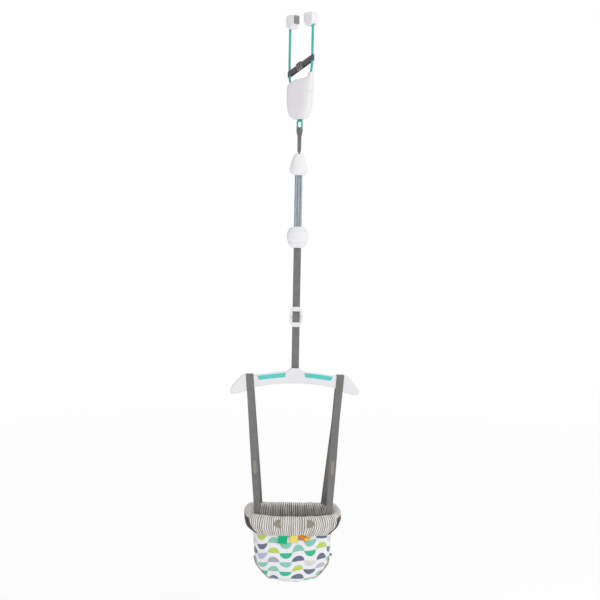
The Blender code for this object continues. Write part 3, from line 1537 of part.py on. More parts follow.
# Seat straps


def leg_foot(side, leg_x, depth_side):
    """Where a leg ends inside the collar: its middle and the direction of its width."""
    margin = 3 * TOUCH_GAP + WEB_THICK
    dx = WEB_WIDTH
    for _ in range(6):
        inner_y = collar_inner_y(leg_x - dx / 2, LEG_TUCK) - margin
        outer_y = collar_inner_y(leg_x + dx / 2, LEG_TUCK) - margin
        dx = WEB_WIDTH * dx / math.hypot(dx, inner_y - outer_y)
    middle = Vector((side * leg_x, depth_side * (inner_y + outer_y) / 2, RIM_Z - LEG_TUCK))
    across = Vector((-side * dx, -depth_side * (outer_y - inner_y), 0)).normalized()
    return middle, across


def strap_knots(side):
    """Points and width directions of one seat strap, from its front foot over the bar to its rear foot."""
    front_foot, front_across = leg_foot(side, FRONT_LEG_X, -1)
    rear_foot, rear_across = leg_foot(side, REAR_LEG_X, 1)
    straight = Vector((-side, 0, 0))
    layer = BAR_THICK / 2 + LAYER_OFF_PIN
    edges = [bar_edge_z(STRAP_PLACE_X + WEB_WIDTH * k / 8) for k in range(-4, 5)]
    bar_top = max(edges) + LAYER_OFF_PIN
    under_z = HUB_TOP_Z - BAR_HEIGHT * 1.62
    sewn_top, sewn_end = HUB_TOP_Z - SEWN_START_DROP, HUB_TOP_Z - SEWN_END_DROP

    def lean(z, leg_x):
        run = (bar_top - z) / (bar_top - RIM_Z)
        return side * (STRAP_PLACE_X + (leg_x - STRAP_PLACE_X) * run)

    knots = []

    def leg(foot, across, leg_x, sign):
        points = [(foot, across), (foot + Vector((0, 0, LEG_TUCK * 0.6)), across)]
        for k in range(1, LEG_STEPS):
            run = k / LEG_STEPS
            z = foot.z + LEG_TUCK * 0.6 + (sewn_end - foot.z - LEG_TUCK * 0.6) * run
            y = foot.y + (sign * LAYER_Y - foot.y) * run
            blend = across.lerp(straight, min(run * 1.4, 1)).normalized()
            points.append((Vector((lean(z, leg_x), y, z)), blend))
        points.append((Vector((lean(sewn_end, leg_x), sign * LAYER_Y, sewn_end)), straight))
        points.append((Vector((lean(sewn_top, leg_x), sign * LAYER_Y, sewn_top)), straight))
        points.append((Vector((lean(under_z, leg_x), sign * layer, under_z)), straight))
        return points

    knots += leg(front_foot, front_across, FRONT_LEG_X, -1)
    round_over = layer * 0.25
    for k in range(4):
        a = math.pi / 2 * k / 3
        y = -layer + round_over * (1 - math.cos(a))
        z = bar_top - round_over * (1 - math.sin(a))
        knots.append((Vector((side * STRAP_PLACE_X, y, z)), straight))
    for k in range(4):
        a = math.pi / 2 * k / 3
        y = layer - round_over * (1 - math.sin(a))
        z = bar_top - round_over * (1 - math.cos(a))
        knots.append((Vector((side * STRAP_PLACE_X, y, z)), straight))
    knots += list(reversed(leg(rear_foot, rear_across, REAR_LEG_X, 1)))
    return knots


def make_seat_straps(on, skin, tag_skin):
    for label, side in (("left", -1), ("right", 1)):
        knots = strap_knots(side)
        name = f"seat_strap_{label}"
        strap = ribbon(name, [p for p, _ in knots], [w for _, w in knots], WEB_WIDTH, WEB_THICK)
        on.carry(link(name, strap, skin))
        make_tag(on, label, knots, tag_skin)


def make_tag(on, label, knots, skin):
    """A woven patch on the outer face of the front leg."""
    top_z, low_z = HUB_TOP_Z - TAG_DROP, HUB_TOP_Z - TAG_DROP - TAG_LENGTH
    front = [p for p, _ in knots[: LEG_STEPS + 3]]
    widths = [w for _, w in knots[: LEG_STEPS + 3]]

    def on_leg(z):
        for (a, wa), (b, wb) in zip(zip(front, widths), zip(front[1:], widths[1:])):
            if a.z <= z <= b.z:
                run = (z - a.z) / (b.z - a.z)
                along = (b - a).normalized()
                across = wa.lerp(wb, run)
                face = along.cross(across).normalized()
                if face.y > 0:
                    face = -face
                lift = WEB_THICK / 2 + RUNNING_GAP + TAG_THICK
                return a.lerp(b, run) + face * lift, across
        return front[0], widths[0]

    path, across = [], []
    for k in range(4):
        point, side = on_leg(low_z + (top_z - low_z) * k / 3)
        path.append(point)
        across.append(side)
    name = f"strap_tag_{label}"
    on.carry(link(name, ribbon(name, path, across, TAG_WIDTH, TAG_THICK), skin))


# Seat bag: a sagging shell with two leg holes

# Half width, half depth and rise above the bottom, as shares of the bag's own three
BAG_LEVEL_SHARES = (
    (0.140, 0.180, 0.000),
    (0.400, 0.500, 0.022),
    (0.620, 0.720, 0.090),
    (0.790, 0.860, 0.200),
    (0.910, 0.950, 0.345),
    (0.965, 0.995, 0.500),
    (0.985, 1.000, 0.680),
    (0.992, 0.970, 0.850),
    (1.000, 0.950, 1.000),
)
BAG_POWER_SHARES = (2.2, 2.3, 2.5, 2.7, 2.9, 3.1, 3.4, 3.8, 4.2)


def bag_top_z():
    return RIM_Z - COLLAR_HEIGHT - TOUCH_GAP


def bag_rings(inset):
    height = bag_top_z() - SEAT_BOTTOM_Z
    rings = []
    for (wide, deep, rise), power in zip(BAG_LEVEL_SHARES, BAG_POWER_SHARES):
        lift = inset * (1 - rise)
        rings.append(
            oval(
                BAG_HALF_WIDTH * wide - inset * min(wide + rise, 1),
                BAG_HALF_DEPTH * deep - inset * min(deep + rise, 1),
                SEAT_BOTTOM_Z + height * rise + lift,
                BAG_SIDES,
                power,
            )
        )
    return rings


def leg_hole_frame(side):
    """Centre of a leg hole, its outward axis and the direction across it in the XZ plane."""
    centre = Vector((side * LEG_HOLE_X, 0, SEAT_BOTTOM_Z + LEG_HOLE_RISE))
    axis = Vector((side * math.sin(LEG_HOLE_ANGLE), 0, -math.cos(LEG_HOLE_ANGLE)))
    across = Vector((side * math.cos(LEG_HOLE_ANGLE), 0, math.sin(LEG_HOLE_ANGLE)))
    return centre, axis, across


def hole_points(side, shrink, offset, count):
    centre, axis, across = leg_hole_frame(side)
    points = []
    for k in range(count):
        a = 2 * math.pi * k / count
        points.append(
            centre
            + axis * offset
            + across * ((LEG_HOLE_WIDE - shrink) * math.cos(a))
            + Vector((0, (LEG_HOLE_DEEP - shrink) * math.sin(a), 0))
        )
    return points


def bag_section(z):
    """Half width, half depth and power of the bag's outside at a level."""
    height = bag_top_z() - SEAT_BOTTOM_Z
    rise = (z - SEAT_BOTTOM_Z) / height
    levels = list(zip(BAG_LEVEL_SHARES, BAG_POWER_SHARES))
    for ((w0, d0, r0), p0), ((w1, d1, r1), p1) in zip(levels, levels[1:]):
        if r0 <= rise <= r1:
            run = (rise - r0) / (r1 - r0)
            return (
                BAG_HALF_WIDTH * (w0 + (w1 - w0) * run),
                BAG_HALF_DEPTH * (d0 + (d1 - d0) * run),
                p0 + (p1 - p0) * run,
            )
    return 0.0, 0.0, BAG_POWER_SHARES[0]


def inside_bag(point):
    half_x, half_y, power = bag_section(point.z)
    if not half_x:
        return False
    return abs(point.x / half_x) ** power + abs(point.y / half_y) ** power < 1


def binding_path(side):
    """The leg hole's rim: from each point round the hole, out along its axis to the bag's skin."""
    _, axis, _ = leg_hole_frame(side)
    path = []
    for point in hole_points(side, BINDING_RADIUS + 2 * TOUCH_GAP, 0.0, BINDING_POINTS):
        near, far = point - axis * LEG_CUT_OUT, point + axis * (2 * LEG_CUT_OUT)
        for _ in range(24):
            middle = (near + far) / 2
            if inside_bag(middle):
                near = middle
            else:
                far = middle
        path.append(near - axis * BAG_THICK / 2)
    return path


def closed_tube(name, path, radius, sides=6):
    rings = []
    count = len(path)
    centre = sum(path, Vector()) / count
    for i, point in enumerate(path):
        along = (path[(i + 1) % count] - path[i - 1]).normalized()
        out = point - centre
        out = (out - along * out.dot(along)).normalized()
        up = along.cross(out)
        ring = []
        for k in range(sides):
            a = 2 * math.pi * k / sides
            ring.append(point + radius * (math.cos(a) * out + math.sin(a) * up))
        rings.append(ring)
    return loft(name, rings, ring_closed=True)


def make_bag(on, skin, binding_skin):
    turn = on.turn
    outer, inner = bag_rings(0.0), bag_rings(BAG_THICK)
    inner[-1] = [Vector((p.x, p.y, bag_top_z())) for p in inner[-1]]
    rings = list(inner) + list(reversed(outer))
    piece = link("seat_bag", loft("seat_bag", rings), skin)
    for label, side in (("left", -1), ("right", 1)):
        near = hole_points(side, 0.0, -LEG_CUT_IN, 24)
        far = hole_points(side, 0.0, LEG_CUT_OUT, 24)
        shape(piece, tool(loft(f"leg_hole_{label}", [near, far]), turn))
        name = f"leg_binding_{label}"
        on.carry(link(name, closed_tube(name, binding_path(side), BINDING_RADIUS), binding_skin))
    on.carry(piece)


# Trim on the seat


def make_tabs(on, skins):
    top = bag_top_z()
    for name, x, width in (
        ("ribbon_tab_green", GREEN_TAB_X, GREEN_TAB_WIDTH),
        ("ribbon_tab_yellow", YELLOW_TAB_X, YELLOW_TAB_WIDTH),
        ("ribbon_tab_orange", ORANGE_TAB_X, ORANGE_TAB_WIDTH),
    ):
        tab = box(
            name,
            (x - width / 2, -TAB_SEAT_Y - TAB_THICK, top - TAB_LENGTH),
            (x + width / 2, -TAB_SEAT_Y, top),
        )
        on.carry(link(name, tab, skins[name]))


def make_toy_loops(on, skin):
    """Half-round webbing loops that lie on the front of the collar."""
    for label, x in (("left", TOY_LOOP_LEFT_X), ("right", TOY_LOOP_RIGHT_X)):
        top = RIM_Z - TOY_LOOP_DROP
        half = TOY_LOOP_WIDTH / 2
        outline = [(x - half, top), (x - half, top - TOY_LOOP_LENGTH + half)]
        for k in range(1, 8):
            a = math.pi + math.pi * k / 8
            outline.append((x + half * math.cos(a), top - TOY_LOOP_LENGTH + half + half * math.sin(a)))
        outline += [(x + half, top - TOY_LOOP_LENGTH + half), (x + half, top)]
        face = -COLLAR_HALF_DEPTH - TOUCH_GAP
        mesh = prism(f"toy_loop_{label}", outline, face - TAB_THICK, face, "Y")
        on.carry(link(f"toy_loop_{label}", mesh, skin))


def make_side_tab(on, skin):
    z = SEAT_BOTTOM_Z + SIDE_TAB_RISE
    half_x, _, _ = bag_section(z + SIDE_TAB_HEIGHT)
    start = half_x + TOUCH_GAP
    tab = box(
        "side_tab",
        (start, -TAB_THICK / 2, z - SIDE_TAB_HEIGHT / 2),
        (start + SIDE_TAB_LENGTH, TAB_THICK / 2, z + SIDE_TAB_HEIGHT / 2),
    )
    on.carry(link("side_tab", tab, skin))


def main():
    clear_scene()
    white = material("white_plastic", (0.80, 0.80, 0.82), 0.38)
    clamp_white = material("clamp_plastic", (0.72, 0.70, 0.73), 0.42)
    turquoise = material("turquoise_coating", (0.06, 0.46, 0.42), 0.35)
    turquoise_soft = material("turquoise_inset", (0.08, 0.66, 0.58), 0.45)
    steel = material("steel", (0.55, 0.57, 0.60), 0.30, 1.0)
    spring_steel = material("spring_steel", (0.42, 0.47, 0.53), 0.28, 1.0)
    rubber = material("grip_rubber", (0.35, 0.34, 0.35), 0.80)
    webbing = material("webbing", (0.17, 0.16, 0.16), 0.85)
    slide_grey = material("slide_plastic", (0.22, 0.20, 0.21), 0.45)
    stripes = material("striped_cloth", (0.42, 0.39, 0.36), 0.90)
    print_cloth = material("print_cloth", (0.84, 0.83, 0.88), 0.90)
    tan = material("tan_tape", (0.42, 0.36, 0.30), 0.90)
    ribbons = {
        "ribbon_tab_green": material("green_ribbon", (0.01, 0.55, 0.30), 0.50),
        "ribbon_tab_yellow": material("yellow_ribbon", (0.95, 0.72, 0.12), 0.50),
        "ribbon_tab_orange": material("orange_ribbon", (0.90, 0.30, 0.03), 0.50),
    }

    clamp = Pivot("clamp", (0, 0, 0))
    make_front_arm(clamp, turquoise)
    make_housing(clamp, clamp_white, steel)
    make_pivot_pin(clamp, steel)
    make_return_spring(clamp, steel)
    make_safety_strap(clamp, webbing)
    make_pad_pin(clamp, -1, "front", steel)
    slide = Pivot("strap_buckle_axis", buckle_centre(), clamp)
    make_strap_buckle(slide, slide_grey)
    front_pad = Pivot("front_pad_axis", (0, -ARM_SPREAD, PAD_PIN_Z), clamp)
    make_pad(front_pad, -1, "front", clamp_white, rubber)

    rear_arm = Pivot("rear_arm_axis", (0, PIVOT_Y, PIVOT_Z), clamp)
    make_rear_arm(rear_arm, turquoise)
    make_pad_pin(rear_arm, 1, "rear", steel)
    rear_pad = Pivot("rear_pad_axis", (0, ARM_SPREAD, PAD_PIN_Z), rear_arm)
    make_pad(rear_pad, 1, "rear", clamp_white, rubber)

    hook_carrier = Pivot("hook_carrier_axis", (0, 0, HOOK_PIN_Z), clamp)
    make_hook_pin(hook_carrier, steel)
    hook = Pivot("load_hook_axis", (0, 0, HOOK_PIN_Z), hook_carrier)
    make_load_hook(hook, turquoise)
    strap = Pivot("hook_strap_axis", (0, 0, HOOK_BAR_Z), hook)
    make_hook_strap(strap, webbing)

    upper = Pivot("upper_cap_axis", (0, 0, UPPER_CAP_TOP_Z), strap, LOWER_TURN)
    make_upper_cap(upper, white, steel, steel, steel)
    make_springs(upper, spring_steel)
    lower = Pivot("lower_cap_axis", (0, 0, LOWER_CAP_TOP_Z), upper, LOWER_TURN)
    make_lower_cap(lower, white, steel, steel, steel)
    make_height_strap(lower, webbing)
    adjuster = Pivot("adjuster_axis", (0, 0, ADJUSTER_Z), lower, LOWER_TURN)
    make_adjuster(adjuster, white)
    hanger = Pivot("bar_hanger_axis", (0, 0, HUB_PIN_Z), lower, LOWER_TURN)
    make_hub_pin(hanger, steel)
    make_height_strap_return(hanger, webbing)
    bar = Pivot("spreader_bar_axis", (0, 0, HUB_PIN_Z), hanger, LOWER_TURN)
    make_spreader_bar(bar, white, turquoise_soft)

    seat = Pivot("seat_axis", (0, 0, HUB_TOP_Z - BAR_HEIGHT), bar, LOWER_TURN)
    make_seat_straps(seat, webbing, tan)
    make_collar(seat, stripes)
    make_bag(seat, print_cloth, tan)
    make_tabs(seat, ribbons)
    make_toy_loops(seat, tan)
    make_side_tab(seat, tan)


main()
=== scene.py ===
"""Looks of a baby doorway jumper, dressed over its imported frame.

Metres, in the frame's own axes: X to the right, Y away from the viewer and Z up.
Everything below the hook is placed in a frame turned about the hanging line, as it hangs in the
photograph: there x runs along the spreader bar and the seat faces -y.
"""

import json
from math import atan2, copysign, cos, exp, hypot, pi, radians, sin

import bmesh
import bpy
from mathutils import Matrix, Vector, noise
from mathutils.bvhtree import BVHTree
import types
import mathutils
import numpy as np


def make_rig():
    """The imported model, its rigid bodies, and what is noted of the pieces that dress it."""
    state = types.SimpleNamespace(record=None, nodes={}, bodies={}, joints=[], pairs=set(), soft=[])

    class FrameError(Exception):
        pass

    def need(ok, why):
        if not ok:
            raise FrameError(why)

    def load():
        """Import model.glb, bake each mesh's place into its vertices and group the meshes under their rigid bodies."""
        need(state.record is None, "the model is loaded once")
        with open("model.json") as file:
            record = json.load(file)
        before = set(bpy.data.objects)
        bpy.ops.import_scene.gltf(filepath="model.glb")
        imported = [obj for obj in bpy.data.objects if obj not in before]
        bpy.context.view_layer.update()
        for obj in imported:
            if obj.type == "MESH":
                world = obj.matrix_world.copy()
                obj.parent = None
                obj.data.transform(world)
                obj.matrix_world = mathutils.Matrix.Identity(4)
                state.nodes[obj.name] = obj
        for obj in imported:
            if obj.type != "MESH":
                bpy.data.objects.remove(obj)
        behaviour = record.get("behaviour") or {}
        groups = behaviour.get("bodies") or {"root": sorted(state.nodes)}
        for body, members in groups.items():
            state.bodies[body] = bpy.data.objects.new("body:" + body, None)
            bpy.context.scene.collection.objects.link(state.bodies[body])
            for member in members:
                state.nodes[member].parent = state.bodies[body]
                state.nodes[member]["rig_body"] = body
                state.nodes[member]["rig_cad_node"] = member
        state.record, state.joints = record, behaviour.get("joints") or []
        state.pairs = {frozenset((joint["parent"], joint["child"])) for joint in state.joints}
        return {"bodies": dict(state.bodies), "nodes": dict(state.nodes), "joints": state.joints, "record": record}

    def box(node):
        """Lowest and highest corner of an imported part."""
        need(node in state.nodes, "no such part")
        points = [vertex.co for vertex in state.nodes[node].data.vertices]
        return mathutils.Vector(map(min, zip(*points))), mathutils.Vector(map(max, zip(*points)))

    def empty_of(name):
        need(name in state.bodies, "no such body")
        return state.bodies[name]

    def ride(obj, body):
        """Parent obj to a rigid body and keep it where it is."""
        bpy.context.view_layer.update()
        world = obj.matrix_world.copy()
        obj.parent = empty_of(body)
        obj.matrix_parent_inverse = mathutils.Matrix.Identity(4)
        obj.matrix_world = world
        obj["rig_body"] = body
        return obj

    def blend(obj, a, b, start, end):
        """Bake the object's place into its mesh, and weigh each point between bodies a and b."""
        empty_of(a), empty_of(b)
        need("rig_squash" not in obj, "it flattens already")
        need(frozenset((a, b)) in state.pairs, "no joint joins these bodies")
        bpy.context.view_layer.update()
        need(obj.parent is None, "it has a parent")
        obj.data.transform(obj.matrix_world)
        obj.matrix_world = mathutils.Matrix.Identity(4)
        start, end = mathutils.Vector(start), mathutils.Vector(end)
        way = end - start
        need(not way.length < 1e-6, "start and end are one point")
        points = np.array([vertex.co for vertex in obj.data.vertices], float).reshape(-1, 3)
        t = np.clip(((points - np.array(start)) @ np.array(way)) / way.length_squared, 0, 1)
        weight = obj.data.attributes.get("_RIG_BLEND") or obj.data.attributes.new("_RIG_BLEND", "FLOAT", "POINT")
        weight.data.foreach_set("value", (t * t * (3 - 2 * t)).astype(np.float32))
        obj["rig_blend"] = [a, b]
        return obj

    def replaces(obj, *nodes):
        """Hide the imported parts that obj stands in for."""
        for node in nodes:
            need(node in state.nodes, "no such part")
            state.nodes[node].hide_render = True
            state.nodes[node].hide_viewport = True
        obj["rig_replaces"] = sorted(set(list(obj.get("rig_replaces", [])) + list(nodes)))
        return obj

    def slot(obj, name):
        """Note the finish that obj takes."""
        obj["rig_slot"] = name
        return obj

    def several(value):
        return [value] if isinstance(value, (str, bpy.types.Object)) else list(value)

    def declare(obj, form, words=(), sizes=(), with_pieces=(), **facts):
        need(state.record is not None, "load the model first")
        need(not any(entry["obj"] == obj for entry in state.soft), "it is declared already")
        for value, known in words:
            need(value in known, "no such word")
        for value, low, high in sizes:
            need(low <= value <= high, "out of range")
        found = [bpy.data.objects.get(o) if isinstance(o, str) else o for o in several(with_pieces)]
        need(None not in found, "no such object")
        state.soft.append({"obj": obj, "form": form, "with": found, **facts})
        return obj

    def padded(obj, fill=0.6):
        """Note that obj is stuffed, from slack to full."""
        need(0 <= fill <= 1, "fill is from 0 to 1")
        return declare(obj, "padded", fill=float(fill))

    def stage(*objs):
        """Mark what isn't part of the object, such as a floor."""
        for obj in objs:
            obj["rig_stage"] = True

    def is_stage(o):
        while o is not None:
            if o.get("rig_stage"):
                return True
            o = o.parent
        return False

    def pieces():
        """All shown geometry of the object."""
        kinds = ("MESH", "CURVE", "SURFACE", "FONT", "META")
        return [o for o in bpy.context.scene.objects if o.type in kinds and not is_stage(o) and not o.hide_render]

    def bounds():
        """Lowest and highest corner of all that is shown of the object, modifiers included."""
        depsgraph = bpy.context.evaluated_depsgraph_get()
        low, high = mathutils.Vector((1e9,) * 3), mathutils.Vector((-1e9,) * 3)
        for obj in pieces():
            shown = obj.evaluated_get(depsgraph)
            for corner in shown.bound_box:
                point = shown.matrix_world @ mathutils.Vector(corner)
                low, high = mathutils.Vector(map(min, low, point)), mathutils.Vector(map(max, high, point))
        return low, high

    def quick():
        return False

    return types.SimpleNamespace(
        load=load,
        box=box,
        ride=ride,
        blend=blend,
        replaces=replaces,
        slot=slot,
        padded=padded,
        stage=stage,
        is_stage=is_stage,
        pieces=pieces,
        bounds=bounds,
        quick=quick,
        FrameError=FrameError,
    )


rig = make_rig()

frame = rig.load()
cad_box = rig.bounds()


def levels_of(node):
    """Lowest and highest z of a node."""
    return [corner.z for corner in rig.box(node)]


# Frame of what hangs below the hook
LOWER_TURN = radians(-37.5)
TURN = Matrix.Rotation(LOWER_TURN, 4, "Z")

# Levels, from the frame's nodes
UPPER_CAP_BOTTOM_Z, UPPER_CAP_TOP_Z = levels_of("upper_cap_front")
LOWER_CAP_BOTTOM_Z, LOWER_CAP_TOP_Z = levels_of("lower_cap_front")
COLLAR_LOW_Z, RIM_Z = levels_of("seat_collar")
HUB_TOP_Z = levels_of("spreader_bar")[1]
SEAT_BOTTOM_Z = levels_of("seat_bag")[0]
ADJUSTER_Z = sum(levels_of("height_adjuster")) / 2
HOOK_BAR_Z = -0.324
UPPER_PIN_Z = UPPER_CAP_TOP_Z - 0.030
LOWER_PIN_Z = LOWER_CAP_BOTTOM_Z + 0.020
HUB_PIN_Z = HUB_TOP_Z - 0.014
UPPER_PLATE_Z = UPPER_CAP_BOTTOM_Z + 0.022
LOWER_PLATE_Z = LOWER_CAP_TOP_Z - 0.022

# Webbing: its face, in shares of half its width and half its thickness
WEB_WIDTH = 0.024
WEB_THICK = 0.0014
WEB_FACE = (
    (-1.00, 0.35), (-0.95, 0.90), (-0.80, 1.00), (-0.40, 0.94), (0.00, 0.94),
    (0.40, 0.94), (0.80, 1.00), (0.95, 0.90), (1.00, 0.35),
)
WEB_SECTION = WEB_FACE + tuple((a, -b) for a, b in reversed(WEB_FACE))
TOUCH_GAP = 0.0003
LAYER_OFF_PIN = TOUCH_GAP + WEB_THICK / 2
LAYER_Y = 0.0009

# Stitches: length, distance from one to the next, width and height
WEB_STITCH = (0.0024, 0.0036, 0.0007, 0.0003)
BOX_STITCH = (0.0024, 0.0036, 0.0007, 0.0002)
BINDING_STITCH = (0.0030, 0.0040, 0.0006, 0.0003)
FINE_STITCH = (0.0018, 0.0028, 0.0005, 0.0002)
TAB_STITCH = (0.0016, 0.0024, 0.0005, 0.0002)

SHARP_ANGLE = radians(40)


# Numbers, points and paths


def clamp(value):
    return min(max(value, 0.0), 1.0)


def between(a, b, share):
    return a + (b - a) * share


def row_at(rows, column, value):
    """A table's row where its column has the value, between two given ones; None outside them."""
    for a, b in zip(rows, rows[1:]):
        if a[column] <= value <= b[column]:
            share = (value - a[column]) / (b[column] - a[column])
            return [between(p, q, share) for p, q in zip(a, b)]
    return None


def toned(colour, share):
    return tuple(min(c * share, 1.0) for c in colour)


def lower(x, y, z):
    """A point of the hanging frame, in the frame's own axes."""
    return TURN @ Vector((x, y, z))


def angles(count):
    return [2 * pi * k / count for k in range(count)]


def arc(centre_z, radius, start, end, steps):
    """(y, z) pairs of an arc, its angles in degrees."""
    turns = [radians(between(start, end, k / steps)) for k in range(steps + 1)]
    return [(radius * cos(a), centre_z + radius * sin(a)) for a in turns]


def rounded_path(path, times=2):
    """Cuts the corners of a path; its ends stay where they are."""
    for _ in range(times):
        cut = [path[0]]
        for a, b in zip(path, path[1:]):
            cut += [a.lerp(b, 0.25), a.lerp(b, 0.75)]
        path = cut + [path[-1]]
    return path


def directions(path, closed=False):
    """Unit direction of a path at each of its points."""
    before, after = (path[-1], path[0]) if closed else (path[0], path[-1])
    return [(b - a).normalized() for a, b in zip([before] + path[:-1], path[1:] + [after])]


def runs(path):
    """How far along a path each of its points is."""
    lengths = [0.0]
    for a, b in zip(path, path[1:]):
        lengths.append(lengths[-1] + (b - a).length)
    return lengths


def ring_points(half_x, half_y, z, sides, power):
    """A level superellipse of the hanging frame."""
    points = []
    for angle in angles(sides):
        c, s = cos(angle), sin(angle)
        x = half_x * copysign(abs(c) ** (2 / power), c)
        y = half_y * copysign(abs(s) ** (2 / power), s)
        points.append(Vector((x, y, z)))
    return points


def even_ring(points, count, start):
    """The same closed outline with its points at equal distances, from point start."""
    points = points[start:] + points[: start + 1]
    lengths, spread, k = runs(points), [], 0
    for i in range(count):
        want = lengths[-1] * i / count
        while lengths[k + 1] < want:
            k += 1
        share = (want - lengths[k]) / max(lengths[k + 1] - lengths[k], 1e-9)
        spread.append(points[k].lerp(points[k + 1], share))
    return spread


def curve_through(rows, steps, closed=False):
    """Catmull-Rom between rows of numbers."""
    count, out = len(rows), []
    for i in range(count if closed else count - 1):
        places = range(i - 1, i + 3)
        quad = [rows[p % count if closed else min(max(p, 0), count - 1)] for p in places]
        for t in (step / steps for step in range(steps)):
            out.append(tuple(
                0.5 * (2 * b + (c - a) * t + (2 * a - 5 * b + 4 * c - d) * t * t
                       + (3 * b - a - 3 * c + d) * t * t * t)
                for a, b, c, d in zip(*quad)
            ))
    return out if closed else out + [rows[-1]]


# Meshes


def meshed(name, shape):
    mesh = bpy.data.meshes.new(name)
    shape.to_mesh(mesh)
    shape.free()
    return mesh


def finished(name, mesh, skin):
    """The object of a mesh, its faces turned outwards and smooth up to the sharp edges."""
    shape = bmesh.new()
    shape.from_mesh(mesh)
    bmesh.ops.recalc_face_normals(shape, faces=shape.faces)
    shape.to_mesh(mesh)
    shape.free()
    mesh.shade_smooth()
    mesh.set_sharp_from_angle(angle=SHARP_ANGLE)
    piece = bpy.data.objects.new(name, mesh)
    bpy.context.scene.collection.objects.link(piece)
    mesh.materials.append(skin)
    return piece


def skinned(name, rings, place, skin, closed=False, capped=True):
    """A surface over rings of equal count; place(r, i) gives the cloth coordinates of a point."""
    count, last = len(rings[0]), len(rings) - 1
    faces, cloth = [], []
    for r in range(last + closed):
        q = (r + 1) % len(rings)
        for i in range(count):
            j = (i + 1) % count
            faces.append((r * count + i, r * count + j, q * count + j, q * count + i))
            cloth += [place(r, i), place(r, i + 1), place(r + 1, i + 1), place(r + 1, i)]
    if capped and not closed:
        for r, order in ((0, range(count - 1, -1, -1)), (last, range(count))):
            faces.append([r * count + i for i in order])
            cloth += [place(r, i) for i in order]
    mesh = bpy.data.meshes.new(name)
    mesh.from_pydata([tuple(p) for ring in rings for p in ring], [], faces)
    for loop, where in zip(mesh.uv_layers.new(name="cloth").data, cloth):
        loop.uv = where
    return finished(name, mesh, skin)


def band(name, frames, lengths, skin, width=WEB_WIDTH, closed=False):
    """A woven band with rounded selvedges, over (middle, half width, half thickness) vectors."""
    rings = [[point + side * a + face * b for a, b in WEB_SECTION] for point, side, face in frames]
    across = [a * width / 2 for a, _ in WEB_SECTION]
    return skinned(name, rings, lambda r, i: (across[i % len(across)], lengths[r]), skin, closed)


def webbing(name, path, sides, skin, width=WEB_WIDTH, thick=WEB_THICK):
    """A band along a path, its width along sides."""
    frames = []
    for middle, along, side in zip(path, directions(path), sides):
        side = (side - along * side.dot(along)).normalized()
        frames.append((middle, side * (width / 2), along.cross(side) * (thick / 2)))
    return band(name, frames, runs(path), skin, width)


def rod(name, path, radius, sides, skin):
    """A round rod along a path."""
    rings, lengths = [], runs(path)
    up = Vector((0.3, 0.5, 0.8)).normalized()
    for point, along in zip(path, directions(path)):
        up = (up - along * up.dot(along)).normalized()
        side = along.cross(up)
        rings.append([point + (cos(a) * side + sin(a) * up) * radius
                      for a in angles(sides)])
    return skinned(name, rings, lambda r, i: (2 * pi * radius * i / sides, lengths[r]), skin)


def joined(name, pieces):
    """One object out of several of one material."""
    shape = bmesh.new()
    skin = pieces[0].data.materials[0]
    for piece in pieces:
        shape.from_mesh(piece.data)
        bpy.data.objects.remove(piece)
    return finished(name, meshed(name, shape), skin)


def smoothed(piece):
    fine = piece.modifiers.new("fine", "SUBSURF")
    fine.levels = fine.render_levels = 1


def sew(name, body, rows, skin, stitch=WEB_STITCH):
    """Rows of thread stitches on a body; a row is its two ends and the way out of the cloth."""
    length, step, width, height = stitch
    shape = bmesh.new()
    for start, end, out in rows:
        along = (end - start).normalized()
        out = (out - along * out.dot(along)).normalized()
        turn = Matrix((along, along.cross(out), out)).transposed().to_4x4()
        scale = Matrix.Diagonal((length / 2, width / 2, height, 1))
        number = max(int((end - start).length / step), 1)
        for k in range(number):
            place = Matrix.Translation(start.lerp(end, (k + 0.5) / number)) @ turn @ scale
            bmesh.ops.create_uvsphere(shape, u_segments=8, v_segments=5, radius=1.0, matrix=place)
    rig.ride(finished(name, meshed(name, shape), skin), body)


def carried(piece, body, node, slot):
    """A piece that one body carries, in place of a node."""
    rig.ride(piece, body)
    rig.replaces(piece, node)
    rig.slot(piece, slot)


def bent(piece, bodies, start, end, node, slot):
    """A piece that bends between two bodies from start to end, in place of a node."""
    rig.blend(piece, *bodies, start, end)
    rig.replaces(piece, node)
    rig.slot(piece, slot)


# Materials


class Term:
    """A number that a node tree works out."""

    def __init__(self, nodes, socket):
        self.nodes, self.socket = nodes, socket

    def __add__(self, other):
        return self.nodes.math("ADD", self, other)

    def __sub__(self, other):
        return self.nodes.math("SUBTRACT", self, other)

    def __mul__(self, other):
        return self.nodes.math("MULTIPLY", self, other)

    def __truediv__(self, other):
        return self.nodes.math("DIVIDE", self, other)

    def __mod__(self, other):
        return self.nodes.math("FLOORED_MODULO", self, other)

    def __abs__(self):
        return self.nodes.math("ABSOLUTE", self)


class Nodes:
    """A node tree that takes numbers, colours, sockets and terms alike."""

    def __init__(self, tree):
        self.tree = tree

    def set(self, node, socket, value):
        if isinstance(value, Term):
            value = value.socket
        if isinstance(value, bpy.types.NodeSocket):
            self.tree.links.new(value, node.inputs[socket])
        else:
            node.inputs[socket].default_value = value

    def node(self, kind, inputs=(), **settings):
        made = self.tree.nodes.new("ShaderNode" + kind)
        for key, value in settings.items():
            setattr(made, key, value)
        for socket, value in inputs.items() if isinstance(inputs, dict) else enumerate(inputs):
            self.set(made, socket, value)
        return made

    def math(self, operation, *values):
        return Term(self, self.node("Math", values, operation=operation).outputs[0])

    def stretch(self, value, low, high, to_low=0.0, to_high=1.0):
        made = self.node("MapRange", (value, low, high, to_low, to_high))
        return Term(self, made.outputs[0])

    def apart(self, value, kind="SeparateXYZ"):
        """The three numbers of a vector or a colour."""
        return [Term(self, output) for output in self.node(kind, [value]).outputs]


